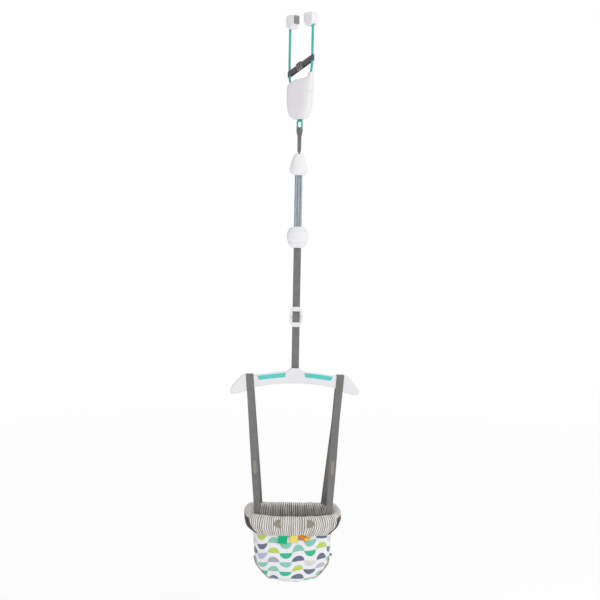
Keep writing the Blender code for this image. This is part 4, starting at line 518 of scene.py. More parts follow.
class Skin(Nodes):
    """A procedural material on one Principled BSDF."""

    def __init__(self, name, colour, roughness, metallic=0.0, **settings):
        self.material = bpy.data.materials.new(name)
        self.material.use_nodes = True
        super().__init__(self.material.node_tree)
        self.shader = self.tree.nodes["Principled BSDF"]
        self.paint((*colour, 1.0))
        self.set(self.shader, "Roughness", roughness)
        self.set(self.shader, "Metallic", metallic)
        for socket, value in settings.items():
            self.set(self.shader, socket.replace("_", " "), value)

    def paint(self, colour):
        self.set(self.shader, "Base Color", colour)

    def place(self):
        return self.node("TexCoord").outputs["Object"]

    def cloth(self):
        """The piece's cloth coordinates, in millimetres."""
        u, v, _ = self.apart(self.node("UVMap", uv_map="cloth").outputs[0])
        return u * 1000.0, v * 1000.0

    def speckle(self, scale, detail=3.0, where=None):
        inputs = {"Vector": where or self.place(), "Scale": scale, "Detail": detail}
        return Term(self, self.node("TexNoise", inputs).outputs["Fac"])

    def scaled(self, u, v, u_share, v_share):
        """Cloth coordinates as a vector for a noise that runs along the cloth."""
        return self.node("CombineXYZ", (u * u_share, v * v_share)).outputs[0]

    def mix(self, share, a, b):
        a, b = (c if isinstance(c, bpy.types.NodeSocket) else (*c, 1.0) for c in (a, b))
        return self.node("Mix", {0: share, 6: a, 7: b}, data_type="RGBA").outputs[2]

    def clouds(self, base, other, scale, low, high, most=1.0, detail=3.0):
        """A colour with soft clouds of another."""
        share = self.stretch(self.speckle(scale, detail), low, high, 0.0, most)
        return self.mix(share, base, other)

    def patches(self, scale, low, high):
        """Roughness that changes by patches."""
        self.set(self.shader, "Roughness", self.stretch(self.speckle(scale), 0.3, 0.7, low, high))

    def bump(self, height, distance, strength, under=None):
        inputs = {"Height": height, "Distance": distance, "Strength": strength}
        if under is not None:
            inputs["Normal"] = under
        made = self.node("Bump", inputs).outputs[0]
        self.set(self.shader, "Normal", made)
        return made

    def wave(self, value, length):
        return self.math("SINE", value * (2 * pi / length))

    def weave(self, u, v, thread, along=None):
        """Height of a plain weave: threads cross over and under, both ways."""
        return self.wave(u, 2 * thread) * self.wave(v, 2 * (along or thread)) * 0.5 + 0.5


def plastic(name, colour, shade, roughness, seams=()):
    """Moulded plastic with a fine grain; seams are the heights of its part lines."""
    skin = Skin(name, colour, roughness, Specular_IOR_Level=0.45)
    base = skin.clouds(colour, shade, 14.0, 0.35, 0.7, detail=4.0)
    skin.patches(60.0, roughness - 0.06, roughness + 0.08)
    grain = skin.bump(skin.speckle(900.0, 2.0), 0.00012, 0.5)
    for level in seams:
        near = abs(skin.apart(skin.place())[2] - level)
        grain = skin.bump(skin.stretch(near, 0.0003, 0.0009), 0.0005, 1.0, grain)
        base = skin.mix(skin.stretch(near, 0.0003, 0.0008, 0.10, 0.0), base, (0.42, 0.42, 0.44))
    skin.paint(base)
    return skin.material


def coated_metal(name, colour, shade):
    """Powder-coated steel: a faint orange peel under a satin gloss."""
    skin = Skin(name, colour, 0.34, Coat_Weight=0.35, Coat_Roughness=0.2)
    skin.paint(skin.clouds(colour, shade, 25.0, 0.35, 0.7))
    skin.patches(80.0, 0.28, 0.42)
    skin.bump(skin.speckle(420.0, 2.0), 0.0002, 0.4)
    return skin.material


def bare_metal(name, colour, shade, roughness):
    skin = Skin(name, colour, roughness, 1.0)
    skin.paint(skin.clouds(colour, shade, 120.0, 0.3, 0.75))
    skin.patches(200.0, roughness - 0.08, roughness + 0.12)
    skin.bump(skin.speckle(1500.0, 2.0), 0.00005, 0.4)
    return skin.material


def rubber_skin(name, colour):
    skin = Skin(name, colour, 0.85)
    skin.paint(skin.mix(skin.speckle(90.0), colour, toned(colour, 0.8)))
    skin.bump(skin.speckle(700.0), 0.0003, 0.6)
    return skin.material


def thread_skin(name, colour):
    skin = Skin(name, colour, 0.72)
    ply = skin.speckle(900.0, 2.0)
    skin.paint(skin.mix(ply, toned(colour, 0.7), colour))
    skin.bump(ply, 0.0001, 0.6)
    return skin.material


def webbing_skin(name, colour, shade):
    """Polyester webbing: ribs along the band, a finer weft and worn, lighter places."""
    skin = Skin(name, colour, 0.78, Sheen_Weight=0.25, Sheen_Roughness=0.4)
    u, v = skin.cloth()
    height = skin.weave(u, v, 1.3, 0.9)
    worn = toned(colour, 1.3)
    # Painted shade: the weave's low places take the shade colour, and the band darkens towards its rounded selvedges
    base = skin.clouds(skin.mix(height, shade, colour), worn, 40.0, 0.45, 0.8, 0.35, 4.0)
    skin.paint(skin.mix(skin.stretch(abs(u), 10.2, 11.8, 0.0, 0.5), base, shade))
    skin.bump(height, 0.0004, 0.8)
    return skin.material


def tape_skin(name, colour, shade):
    """Cotton tape, its weave laid by the object's own axes."""
    skin = Skin(name, colour, 0.85, Sheen_Weight=0.2)
    x, y, z = skin.apart(skin.place())
    height = skin.weave((x + y) * 1000.0, z * 1000.0, 0.8)
    # Painted shade: the weave's low places take the shade colour
    skin.paint(skin.clouds(skin.mix(height, shade, colour), shade, 60.0, 0.4, 0.75, 0.3))
    skin.bump(height, 0.0003, 0.7)
    return skin.material


def ribbon_skin(name, colour, edge, half, second=None, change=0.0):
    """Satin ribbon: fine ribs across it, and its edges painted darker in the edge colour, a painted shade that leaves
    the middle as a painted highlight; second is the colour past change.
    """
    skin = Skin(name, colour, 0.5, Specular_IOR_Level=0.15, Sheen_Weight=0.04)
    u, v = skin.cloth()
    base = skin.mix(skin.speckle(50.0), colour, toned(colour, 0.86))
    if second:
        base = skin.mix(skin.stretch(v, change - 1.5, change + 1.5), base, second)
    # Painted shade: darker towards both edges, so the middle reads as the satin's highlight
    skin.paint(skin.mix(skin.stretch(abs(u), half - 2.6, half - 0.6, 0.0, 0.75), base, edge))
    skin.bump(skin.wave(v, 0.7), 0.0001, 0.6)
    return skin.material


# Collar's cloth, in metres: its size, and the set-in patch under its two ends that is painted dark plum as painted
# shade
COLLAR_GIRTH = 0.860
COLLAR_RUN = 0.185
SHADED_UNDERSIDE_INSET = 0.0022
SHADED_UNDERSIDE_REACH_SHARES = (0.086, 0.112)
SHADED_UNDERSIDE_SPAN_SHARES = (0.52, 0.90)
# Stripes, in millimetres of cloth
STRIPE_PITCH = 6.8
STRIPE_SLOW_PITCH = STRIPE_PITCH * 4.7
INNER_STRIPES_END = 62.0
STRIPE_GROUND = (0.80, 0.775, 0.745)
STRIPE_TAUPE = (0.20, 0.185, 0.172)
# The dark ink is also the colour of the painted shade inside the seat
DARK_INK_AND_SHADE = (0.10, 0.090, 0.080)
STRIPE_FIBRE = (0.50, 0.47, 0.44)
# Painted shade, dark plum, for the shadowed underside of the collar's ends
SHADED_UNDERSIDE_PLUM = (0.070, 0.055, 0.055)


def striped_skin(name):
    """Off-white cotton with drawn stripes, bolder inside the seat, painted shade darkening the inside towards its
    foot, and a dark plum patch of painted shade under the two ends.
    """
    skin = Skin(name, STRIPE_GROUND, 0.92, Sheen_Weight=0.15)
    u, v = skin.cloth()
    waver = skin.speckle(1.6, 2.0, skin.scaled(u, v, 0.02, 0.014))
    moved = u + skin.stretch(waver, 0.3, 0.7, -1.5, 1.5)
    inner = skin.stretch(v, INNER_STRIPES_END - 4, INNER_STRIPES_END + 4, 1.0, 0.0)
    level = skin.wave(moved, STRIPE_SLOW_PITCH) * 0.25 + skin.wave(moved, STRIPE_PITCH)
    inks = skin.mix(skin.stretch(waver, 0.45, 0.62), STRIPE_TAUPE, DARK_INK_AND_SHADE)
    inks = skin.mix(inner, inks, DARK_INK_AND_SHADE)
    fibres = skin.speckle(260.0, 2.0)
    base = skin.mix(skin.stretch(inner * 0.42 + level, 0.02, 0.40), STRIPE_GROUND, inks)
    base = skin.mix(skin.stretch(fibres, 0.35, 0.75, 0.0, 0.3), base, STRIPE_FIBRE)
    # Painted shade: the inside darkens towards the collar's foot, deep in the seat where shadow falls
    base = skin.mix(skin.stretch(v, 0.0, 34.0, 0.5, 0.0), base, DARK_INK_AND_SHADE)
    # Painted shade: a dark plum patch under each end of the collar, where its underside lies in shadow
    around, down = u / (COLLAR_GIRTH * 1000), v / (COLLAR_RUN * 1000)
    near = skin.math("MINIMUM", abs(around - 0.25), abs(around - 0.75))
    start, end = SHADED_UNDERSIDE_SPAN_SHARES
    shaded_underside = skin.math("LESS_THAN", near, skin.stretch(down, start, end, *SHADED_UNDERSIDE_REACH_SHARES))
    shaded_underside *= skin.math("GREATER_THAN", down, start)
    shaded_underside *= skin.math("LESS_THAN", down, end)
    skin.paint(skin.mix(shaded_underside, base, skin.mix(fibres, SHADED_UNDERSIDE_PLUM, toned(SHADED_UNDERSIDE_PLUM, 0.6))))
    under = skin.bump(skin.weave(u, v, 0.6), 0.0002, 0.5)
    skin.bump(skin.speckle(55.0), 0.0012, 0.45, under)
    return skin.material


# Print, in millimetres of cloth
PRINT_COLUMN = 38.9
PRINT_ROW = 31.5
PRINT_HIGH = 18.6
PRINT_ROW_START = 22.4
PRINT_COLUMN_START = 3.2
PRINT_LEAN = 0.09
PRINT_GROUND = (0.835, 0.835, 0.875)
PRINT_FIBRE = (0.68, 0.68, 0.72)
INK_TEAL = (0.24, 0.56, 0.44)
INK_LIME = (0.50, 0.64, 0.09)
INK_GREY = (0.38, 0.39, 0.47)
INK_GREEN = (0.012, 0.47, 0.245)
INK_SLATE = (0.11, 0.14, 0.225)
INK_LILAC = (0.46, 0.475, 0.59)
INK_PALE = (0.68, 0.68, 0.67)
# The repeat steps through the inks in this order, by so many for each column and each row
PRINT_INKS = (
    INK_GREY, INK_SLATE, INK_TEAL, INK_LILAC, INK_SLATE, INK_LIME, INK_PALE,
    INK_GREEN, INK_SLATE, INK_TEAL, INK_TEAL, INK_GREEN, INK_TEAL, INK_LIME,
)
PRINT_COLUMN_STEP = 2.0
PRINT_ROW_STEP = 5.0


def print_skin(name):
    """White cotton printed with rows of half discs, domes and bowls by turns."""
    skin = Skin(name, PRINT_GROUND, 0.9, Sheen_Weight=0.2)
    u, v = skin.cloth()
    height = skin.weave(u, v, 0.6)
    inputs = {"Vector": skin.scaled(u, v, 0.03, 0.03), "Scale": 0.8, "Detail": 0.0}
    waver = skin.apart(skin.node("TexNoise", inputs).outputs["Color"], "SeparateColor")
    u += skin.stretch(waver[0], 0.3, 0.7, -2.0, 2.0)
    v += skin.stretch(waver[1], 0.3, 0.7, -3.0, 3.0)
    column = (u + PRINT_COLUMN_START) / PRINT_COLUMN
    column_number = skin.math("FLOOR", column)
    sign = column_number % 2.0 * -2.0 + 1.0
    signed = (u * -PRINT_LEAN + v + PRINT_ROW_START) / PRINT_ROW * sign
    cell = skin.math("FLOOR", signed)
    x = (column - column_number - 0.5) * 2.0
    y = (signed - cell) * (PRINT_ROW / PRINT_HIGH)
    pick = column_number * PRINT_COLUMN_STEP + cell * sign * PRINT_ROW_STEP
    count = len(PRINT_INKS)
    ramp = skin.node("ValToRGB", [(pick % count + 0.5) / count])
    ramp.color_ramp.interpolation = "CONSTANT"
    stops = ramp.color_ramp.elements
    stops[1].position = 1 / count
    for k in range(2, count):
        stops.new(k / count)
    for stop, ink in zip(stops, PRINT_INKS):
        stop.color = (*ink, 1.0)
    disc = skin.stretch(x * x + y * y, 0.96, 1.04, 1.0, 0.0)
    base = skin.mix(disc, PRINT_GROUND, ramp.outputs[0])
    skin.paint(skin.clouds(base, PRINT_FIBRE, 240.0, 0.4, 0.8, 0.18, 2.0))
    skin.bump(skin.speckle(38.0), 0.0015, 0.4, skin.bump(height, 0.0002, 0.5))
    return skin.material


# Stage: camera, floor and light

# Camera, set so that the frame's levels and the hanging line fall where the photograph has them
CAMERA_AZIMUTH = radians(-40)
CAMERA_DISTANCE = 4.0
CAMERA_HEIGHT = -0.582
CAMERA_ASIDE = 0.0061
CAMERA_ROLL = radians(1.07)
CAMERA_FOCAL = 74.65
CAMERA_SHIFT_Y = -0.1517
SENSOR_WIDTH = 36.0

# White room: its light, and the shares and spans of its fall to the left, plain and in gloss
WHITE = (1.0, 1.0, 1.0)
ROOM_LIGHT = 1.0
ROOM_DARK_SHARE = 0.45
ROOM_DARK_SPAN = (0.30, 0.95)
FLAG_SHARE = 0.10
FLAG_SPAN = (0.05, 0.60)
FLOOR_Z = -2.06
FLOOR_RADIUS = 60.0
FLOOR_NEAR = (0.92, 0.92, 0.92)
FLOOR_WHITE_SPAN = (3.0, 12.0)
KEY_POWER = 11.0
KEY_SIZE = 1.6
KEY_NEARER, KEY_RIGHT, KEY_ABOVE = 2.6, 1.6, 2.0


def add_camera():
    """The photograph's camera; returns the level directions forward and right of it."""
    forward = Vector((-sin(CAMERA_AZIMUTH), cos(CAMERA_AZIMUTH), 0))
    right = Vector((forward.y, -forward.x, 0))
    data = bpy.data.cameras.new("camera")
    data.lens = CAMERA_FOCAL
    data.sensor_width = SENSOR_WIDTH
    data.shift_y = CAMERA_SHIFT_Y
    camera = bpy.data.objects.new("camera", data)
    bpy.context.scene.collection.objects.link(camera)
    place = right * CAMERA_ASIDE - forward * CAMERA_DISTANCE
    place.z = CAMERA_HEIGHT
    turn = Matrix.Rotation(CAMERA_AZIMUTH, 4, "Z") @ Matrix.Rotation(pi / 2, 4, "X")
    camera.matrix_world = Matrix.Translation(place) @ turn @ Matrix.Rotation(CAMERA_ROLL, 4, "Z")
    bpy.context.scene.camera = camera
    return forward, right


def add_room(right):
    """A white room, darker at the left, with a dark flag there that only gloss shows."""
    world = bpy.data.worlds.new("studio")
    bpy.context.scene.world = world
    world.use_nodes = True
    nodes = Nodes(world.node_tree)
    place = nodes.node("TexCoord").outputs["Generated"]
    side = nodes.node("VectorMath", (place, -right), operation="DOT_PRODUCT").outputs["Value"]
    fade = nodes.stretch(side, *ROOM_DARK_SPAN, ROOM_LIGHT, ROOM_LIGHT * ROOM_DARK_SHARE)
    flag = nodes.stretch(side, *FLAG_SPAN, ROOM_LIGHT, ROOM_LIGHT * FLAG_SHARE)
    rays = nodes.node("LightPath").outputs
    lit = nodes.node("Mix", {0: rays["Is Glossy Ray"], 2: fade, 3: flag}).outputs[0]
    lit = nodes.node("Mix", {0: rays["Is Camera Ray"], 2: lit, 3: ROOM_LIGHT}).outputs[0]
    background = world.node_tree.nodes["Background"]
    nodes.set(background, "Strength", lit)
    nodes.set(background, "Color", (*WHITE, 1.0))
    bpy.context.scene.view_settings.view_transform = "Standard"


def add_floor():
    skin = Skin("floor_paint", FLOOR_NEAR, 0.95, Specular_IOR_Level=0.0, Emission_Strength=0.12)
    skin.set(skin.shader, "Emission Color", (*WHITE, 1.0))
    away = skin.node("VectorMath", [skin.place()], operation="LENGTH").outputs["Value"]
    near = skin.mix(skin.speckle(2.0), FLOOR_NEAR, toned(FLOOR_NEAR, 0.985))
    skin.paint(skin.mix(skin.stretch(away, *FLOOR_WHITE_SPAN), near, WHITE))
    shape = bmesh.new()
    bmesh.ops.create_circle(shape, cap_ends=True, segments=96, radius=FLOOR_RADIUS,
                            matrix=Matrix.Translation((0, 0, FLOOR_Z)))
    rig.stage(finished("floor", meshed("floor", shape), skin.material))


def add_key_light(forward, right):
    target = Vector((0, 0, (HUB_TOP_Z + SEAT_BOTTOM_Z) / 2))
    data = bpy.data.lights.new("key", "AREA")
    data.shape = "DISK"
    data.size = KEY_SIZE
    data.energy = KEY_POWER
    lamp = bpy.data.objects.new("key", data)
    bpy.context.scene.collection.objects.link(lamp)
    lamp.location = target - forward * KEY_NEARER + right * KEY_RIGHT + Vector((0, 0, KEY_ABOVE))
    lamp.rotation_euler = (target - lamp.location).to_track_quat("-Z", "Y").to_euler()


# Rigid nodes

STEEL_WORDS = ("_pin", "_screw_", "_spring_plate", "_return_spring")


def dress_nodes(skins):
    for skin, nodes in skins:
        for node in nodes:
            for slot in frame["nodes"][node].material_slots:
                slot.material = skin


# Hook strap

HOOK_STRAP_THICK = 0.003
HOOK_STRAP_GATHERED = 0.0198
HOOK_BAR_RADIUS = 0.0035
CAP_PIN_RADIUS = 0.0025
LOOP_LEAST_SHARE = 0.25
# Down from the bar, and up from the pin: distance and half thickness, in shares of the loop
HOOK_STRAP_NECK = ((0.5, 0.92), (1.3, 0.80), (2.1, 0.62), (2.6, 0.42))
HOOK_STRAP_NECK_END = 3.0
HOOK_STRAP_FOOT = ((1.1, 0.55), (0.5, 0.90))
HOOK_STRAP_FOOT_START = 1.8
HOOK_STRAP_STEPS = 26
HOOK_STRAP_BEND = (0, 0, HOOK_BAR_Z - 0.030), (0, 0, UPPER_CAP_TOP_Z + 0.004)
# Shares of the twist that come early, evenly and at the strap's very end
TWIST_EARLY, TWIST_EVEN, TWIST_LATE = 0.28, 0.17, 0.55
TWIST_EARLY_START, TWIST_EARLY_RUN = 0.06, 0.16
TWIST_LATE_POWER = 30
HOOK_SEAM_RINGS = (15, 18)
HOOK_SEAM_HALF = 0.0085


def half_loop(radius):
    """Distance from the pin and half thickness, from the pin's middle to the loop's end."""
    turns = [pi / 2 * k / 8 for k in range(9)]
    return [(radius * sin(a), radius * max(cos(a), LOOP_LEAST_SHARE)) for a in turns]


def add_hook_strap(skin, thread):
    """Double webbing looped over the hook's bar, twisting to the cap's turn as it goes down."""
    length = HOOK_BAR_Z - UPPER_PIN_Z
    head, foot = (r + TOUCH_GAP + WEB_THICK for r in (HOOK_BAR_RADIUS, CAP_PIN_RADIUS))
    straight = (head * HOOK_STRAP_NECK_END, length - foot * HOOK_STRAP_FOOT_START)
    levels = half_loop(head)[::-1] + [(-head * a, head * b) for a, b in HOOK_STRAP_NECK]
    levels += [(-between(*straight, k / HOOK_STRAP_STEPS), HOOK_STRAP_THICK / 2)
               for k in range(HOOK_STRAP_STEPS + 1)]
    levels += [(foot * a - length, foot * b) for a, b in HOOK_STRAP_FOOT]
    levels += [(-length - drop, half) for drop, half in half_loop(foot)]
    frames = []
    for rise, half in levels:
        run = clamp((-rise - 2 * head) / (HOOK_BAR_Z - UPPER_CAP_TOP_Z - 2 * head))
        early = clamp((run - TWIST_EARLY_START) / TWIST_EARLY_RUN)
        early = TWIST_EARLY * early ** 2 * (3 - 2 * early)
        share = early + TWIST_EVEN * run + TWIST_LATE * run ** TWIST_LATE_POWER
        turn = Matrix.Rotation(LOWER_TURN * share, 4, "Z")
        wide = between(HOOK_STRAP_GATHERED, WEB_WIDTH, clamp(-rise / head)) / 2
        middle = Vector((0, 0, HOOK_BAR_Z + rise))
        frames.append((middle, turn @ Vector((0, wide, 0)), turn @ Vector((half, 0, 0))))
    piece = band("hook_strap_woven", frames, [middle.z for middle, _, _ in frames], skin)
    bent(piece, ("hook_strap", "upper_cap"), *HOOK_STRAP_BEND, "hook_strap", "webbing")
    rows = []
    for middle, side, out in (frames[index] for index in HOOK_SEAM_RINGS):
        side = side.normalized() * HOOK_SEAM_HALF
        for out in (-out, out):
            rows.append((middle + out - side, middle + out + side, out))
    sew("hook_strap_seam", "hook_strap", rows, thread)


# Height strap and its adjuster

HUB_PIN_RADIUS = 0.003
ADJUSTER_BAR = 0.0025
ADJUSTER_BAR_SKIN = 0.0001
ADJUSTER_WIDE = 0.0212
ADJUSTER_HALF = 0.033
ADJUSTER_OPEN = (0.0137, 0.0172)
ADJUSTER_WINDOW_HALF = 0.020
ADJUSTER_LEAD = 1.6 * ADJUSTER_HALF
ADJUSTER_BACK = ADJUSTER_BAR + LAYER_OFF_PIN
ADJUSTER_FRONT = ADJUSTER_BACK + TOUCH_GAP + WEB_THICK
ADJUSTER_ARCH = 0.0012
ADJUSTER_AROUND = 96
# Share of the way from the outer edge to the window, and how far the face stands out there
ADJUSTER_SECTION = (
    (0.00, 0.0008), (0.06, 0.0020), (0.25, 0.0029), (0.55, 0.0031), (0.85, 0.0027), (0.97, 0.0016),
    (1.00, 0.0006), (1.00, -0.0006), (0.96, -0.0019), (0.60, -0.0024), (0.10, -0.0019),
    (0.00, -0.0008),
)
HEIGHT_TAIL_Z = LOWER_CAP_BOTTOM_Z - 0.045
HEIGHT_SEAM_DROPS = (0.008, 0.018)
HEIGHT_SEAM_HALF = 0.0105


def add_height_strap(skin, thread):
    """The sewn loop on the cap's pin, the way through the adjuster and the loop on the hub pin."""
    front, back, half, window = -ADJUSTER_FRONT, ADJUSTER_BACK, ADJUSTER_HALF, ADJUSTER_WINDOW_HALF
    pin_layer, hub_layer = CAP_PIN_RADIUS + LAYER_OFF_PIN, HUB_PIN_RADIUS + LAYER_OFF_PIN
    pin_z, hub_z = LOWER_PIN_Z - 2 * pin_layer, HUB_PIN_Z + 2 * hub_layer

    def by_adjuster(sign, *pairs):
        return [(y, ADJUSTER_Z + sign * z) for y, z in pairs]

    above = [(LAYER_Y, HEIGHT_TAIL_Z), (LAYER_Y, pin_z)]
    above += arc(LOWER_PIN_Z, pin_layer, -20, 200, 10)
    above += [(-LAYER_Y, pin_z), (-LAYER_Y, HEIGHT_TAIL_Z)]
    above += by_adjuster(1, (0, ADJUSTER_LEAD), (back, half), (back, window),
                         (front, ADJUSTER_BAR), (front, 0))
    below = by_adjuster(-1, (front, 0), (front, ADJUSTER_BAR), (back, window), (back, half),
                        (-LAYER_Y, ADJUSTER_LEAD))
    below += [(-LAYER_Y, hub_z), *arc(HUB_PIN_Z, hub_layer, 160, 380, 10), (LAYER_Y, hub_z)]
    behind = back + WEB_THICK + TOUCH_GAP
    up = [(LAYER_Y, hub_z + TOUCH_GAP)]
    up += by_adjuster(-1, (LAYER_Y, ADJUSTER_LEAD), (behind, half), (behind, window),
                      (behind * 0.9, window / 2))
    up += arc(ADJUSTER_Z, back, 0, 180, 8)
    # The adjuster runs twice as far as the hub: a blend that is mirrored at the hub pin gives
    # its loop half of that run
    mirror = 2 * HUB_PIN_Z - ADJUSTER_Z
    for name, pairs, node, start in (
        ("height_strap_upper", above, "height_strap", HEIGHT_TAIL_Z),
        ("height_strap_lower", below, "height_strap", mirror),
        ("height_strap_back", up, "height_strap_return", mirror),
    ):
        path = rounded_path([lower(0, y, z) for y, z in pairs])
        piece = webbing(name, path, [lower(1, 0, 0)] * len(path), skin)
        bent(piece, ("lower_cap", "height_adjuster"), (0, 0, start), (0, 0, ADJUSTER_Z),
             node, "webbing")
    rows = []
    for z in (LOWER_CAP_BOTTOM_Z - drop for drop in HEIGHT_SEAM_DROPS):
        for face in (-1, 1):
            y = face * (LAYER_Y + WEB_THICK / 2)
            ends = [lower(x, y, z) for x in (-HEIGHT_SEAM_HALF, HEIGHT_SEAM_HALF)]
            rows.append((*ends, lower(0, face, 0)))
    sew("height_strap_seam", "lower_cap", rows, thread)


def add_adjuster(skin):
    """A moulded frame, arched over the strap at both ends, with a round bar across its window."""
    outer = ring_points(ADJUSTER_WIDE, ADJUSTER_HALF, 0, ADJUSTER_AROUND, 3.4)
    inner = ring_points(*ADJUSTER_OPEN, 0, ADJUSTER_AROUND, 9.0)
    rings = []
    for a, b in zip(outer, inner):
        arch = ADJUSTER_ARCH * (1 - (a.x / ADJUSTER_WIDE) ** 2) * (abs(a.y) / ADJUSTER_HALF)
        ring = [(a.lerp(b, share), lift + arch * (lift > 0)) for share, lift in ADJUSTER_SECTION]
        rings.append([lower(p.x, -lift, ADJUSTER_Z + p.y) for p, lift in ring])
    moulded = skinned("height_adjuster_moulded", rings, lambda r, i: (0.001 * r, 0.001 * i), skin,
                      closed=True)
    reach = (ADJUSTER_WIDE + ADJUSTER_OPEN[0]) / 2
    path = [lower(x, 0, ADJUSTER_Z) for x in (-reach, 0, reach)]
    bar = rod("adjuster_bar", path, ADJUSTER_BAR + ADJUSTER_BAR_SKIN, 16, skin)
    piece = joined("height_adjuster_moulded_body", [moulded, bar])
    smoothed(piece)
    carried(piece, "height_adjuster", "height_adjuster", "white_plastic")


# Safety strap and its slide: (y, z) of the strap's ends, round the two rods

SAFETY_FRONT = (-0.0565, -0.101)
SAFETY_REAR = (0.0553, -0.1455)
SAFETY_SLOPE = (SAFETY_REAR[1] - SAFETY_FRONT[1]) / (SAFETY_REAR[0] - SAFETY_FRONT[0])
SAFETY_RADIUS = 0.0052 + WEB_THICK / 2
SAFETY_WIDTH = 0.018
SAFETY_STEP = 0.006
SAFETY_BEND = (0, 0.018, -0.13), (0, SAFETY_REAR[0] - 0.008, -0.13)
SAFETY_SEAM_Y = (-0.046, -0.040)
SAFETY_SEAM_HALF = 0.0075
SLIDE_HALF = (0.012, 0.01225)
SLIDE_WALL = 0.002
SLIDE_EDGE = 0.0005
# Spans along the slide, in shares of its half length, and how far each bar stands out
SLIDE_BARS = ((-1.0, -0.62, 0.0), (-0.22, 0.22, 0.0006), (0.62, 1.0, 0.0))


def safety_z(y):
    return SAFETY_FRONT[1] + SAFETY_SLOPE * (y - SAFETY_FRONT[0])


def add_safety_strap(skin, thread):
    """A flat loop round both rods; it stays upright, and leans with the heights of its ends."""
    plan = []
    for centre, start in ((SAFETY_REAR[0], 0), (SAFETY_FRONT[0], pi)):
        for a in (start + pi * k / 12 for k in range(13)):
            out = Vector((cos(a), sin(a), 0)) * SAFETY_RADIUS
            plan.append(Vector((0, centre, 0)) + out)
    path = []
    for a, b in zip(plan, plan[1:] + plan[:1]):
        steps = max(int((b - a).length / SAFETY_STEP), 1)
        path += [a.lerp(b, k / steps) for k in range(steps)]
    side = Vector((0, 0, SAFETY_WIDTH / 2))
    frames = []
    for point, along in zip(path, directions(path, closed=True)):
        face = Vector((along.y, -along.x, 0)) * (WEB_THICK / 2)
        frames.append((Vector((point.x, point.y, safety_z(point.y))), side, face))
    piece = band("safety_strap_woven", frames, runs(path + path[:1]), skin, SAFETY_WIDTH, True)
    bent(piece, ("clamp", "rear_arm"), *SAFETY_BEND, "safety_strap", "webbing")
    rows = []
    for y in SAFETY_SEAM_Y:
        for face in (-1, 1):
            middle = Vector((face * (SAFETY_RADIUS + WEB_THICK / 2), y, safety_z(y)))
            reach = Vector((0, 0, SAFETY_SEAM_HALF))
            rows.append((middle - reach, middle + reach, Vector((face, 0, 0))))
    sew("safety_strap_seam", "clamp", rows, thread)


def add_slide(skin):
    """A ladder slide: a back plate, two rails and three bars over the strap."""
    front, rear = Vector((0, *SAFETY_FRONT)), Vector((0, *SAFETY_REAR))
    along, out = (rear - front).normalized(), Vector((-1, 0, 0))
    across = Vector((0, -along.z, along.y))
    turn = Matrix((along, across, out)).transposed().to_4x4()
    place = Matrix.Translation((front + rear) / 2 + out * SAFETY_RADIUS) @ turn
    room = WEB_THICK / 2 + TOUCH_GAP
    back = room + SLIDE_WALL
    half_a, half_b = SLIDE_HALF
    shape = bmesh.new()

    def block(*spans):
        """A bevelled block between two numbers along, across and out of the slide."""
        middle = Matrix.Translation([(low + high) / 2 for low, high in spans])
        size = Matrix.Diagonal((*(high - low for low, high in spans), 1))
        made = bmesh.ops.create_cube(shape, size=1.0, matrix=place @ middle @ size)
        edges = {e for v in made["verts"] for e in v.link_edges}
        bmesh.ops.bevel(shape, geom=list(edges), offset=SLIDE_EDGE, segments=2, affect="EDGES",
                        profile=0.5)

    for start, end, lift in SLIDE_BARS:
        block((start * half_a, end * half_a), (-half_b, half_b), (room, room + SLIDE_WALL + lift))
    for low in (-half_b, half_b - SLIDE_WALL):
        block((-half_a, half_a), (low, low + SLIDE_WALL), (-back, room + SLIDE_WALL * 0.9))
    block((-half_a, half_a), (-half_b, half_b), (-back, -room))
    mesh = meshed("strap_slide_moulded", shape)
    piece = finished("strap_slide_moulded", mesh, skin)
    carried(piece, "strap_slide", "strap_buckle", "slide_plastic")


# Spreader bar's top edge as the frame has it, in shares of its half length and hub height

BAR_HALF_LENGTH = 0.207
BAR_HEIGHT = 0.049
BAR_THICK = 0.022
BAR_TOP_SHARES = ((0.590, 0.460), (0.640, 0.475), (0.780, 0.450), (0.830, 0.520))

# Seat collar and bag, as the frame has them: half width, half depth and drop of the collar's
# outline in shares of its size, then half width, half depth, rise and power of the bag's
COLLAR_HALF_WIDTH = 0.1545
COLLAR_HALF_DEPTH = 0.0975
COLLAR_HEIGHT = 0.0655
COLLAR_POWER = 4.6
COLLAR_RING_SHARES = (
    (0.783, 0.790, 0.920), (0.822, 0.780, 0.540), (0.867, 0.790, 0.160), (0.925, 0.865, 0.000),
    (0.977, 0.950, 0.110), (1.000, 1.000, 0.350), (0.982, 0.995, 0.640), (0.872, 0.970, 0.920),
    (0.835, 0.933, 1.000), (0.786, 0.825, 1.000),
)
BAG_HALF_WIDTH = 0.1255
BAG_HALF_DEPTH = 0.091
BAG_HEIGHT = COLLAR_LOW_Z - TOUCH_GAP - SEAT_BOTTOM_Z
BAG_LEVELS = (
    (0.140, 0.180, 0.000, 2.2), (0.400, 0.500, 0.022, 2.3), (0.620, 0.720, 0.090, 2.5),
    (0.790, 0.860, 0.200, 2.7), (0.910, 0.950, 0.345, 2.9), (0.965, 0.995, 0.500, 3.1),
    (0.985, 1.000, 0.680, 3.4), (0.992, 0.970, 0.850, 3.8), (1.000, 0.950, 1.000, 4.2),
)
LEG_HOLE_WIDE = 0.045
LEG_HOLE_DEEP = 0.048
LEG_HOLE_X = 0.094
LEG_HOLE_RISE = 0.036
LEG_HOLE_ANGLE = radians(48)

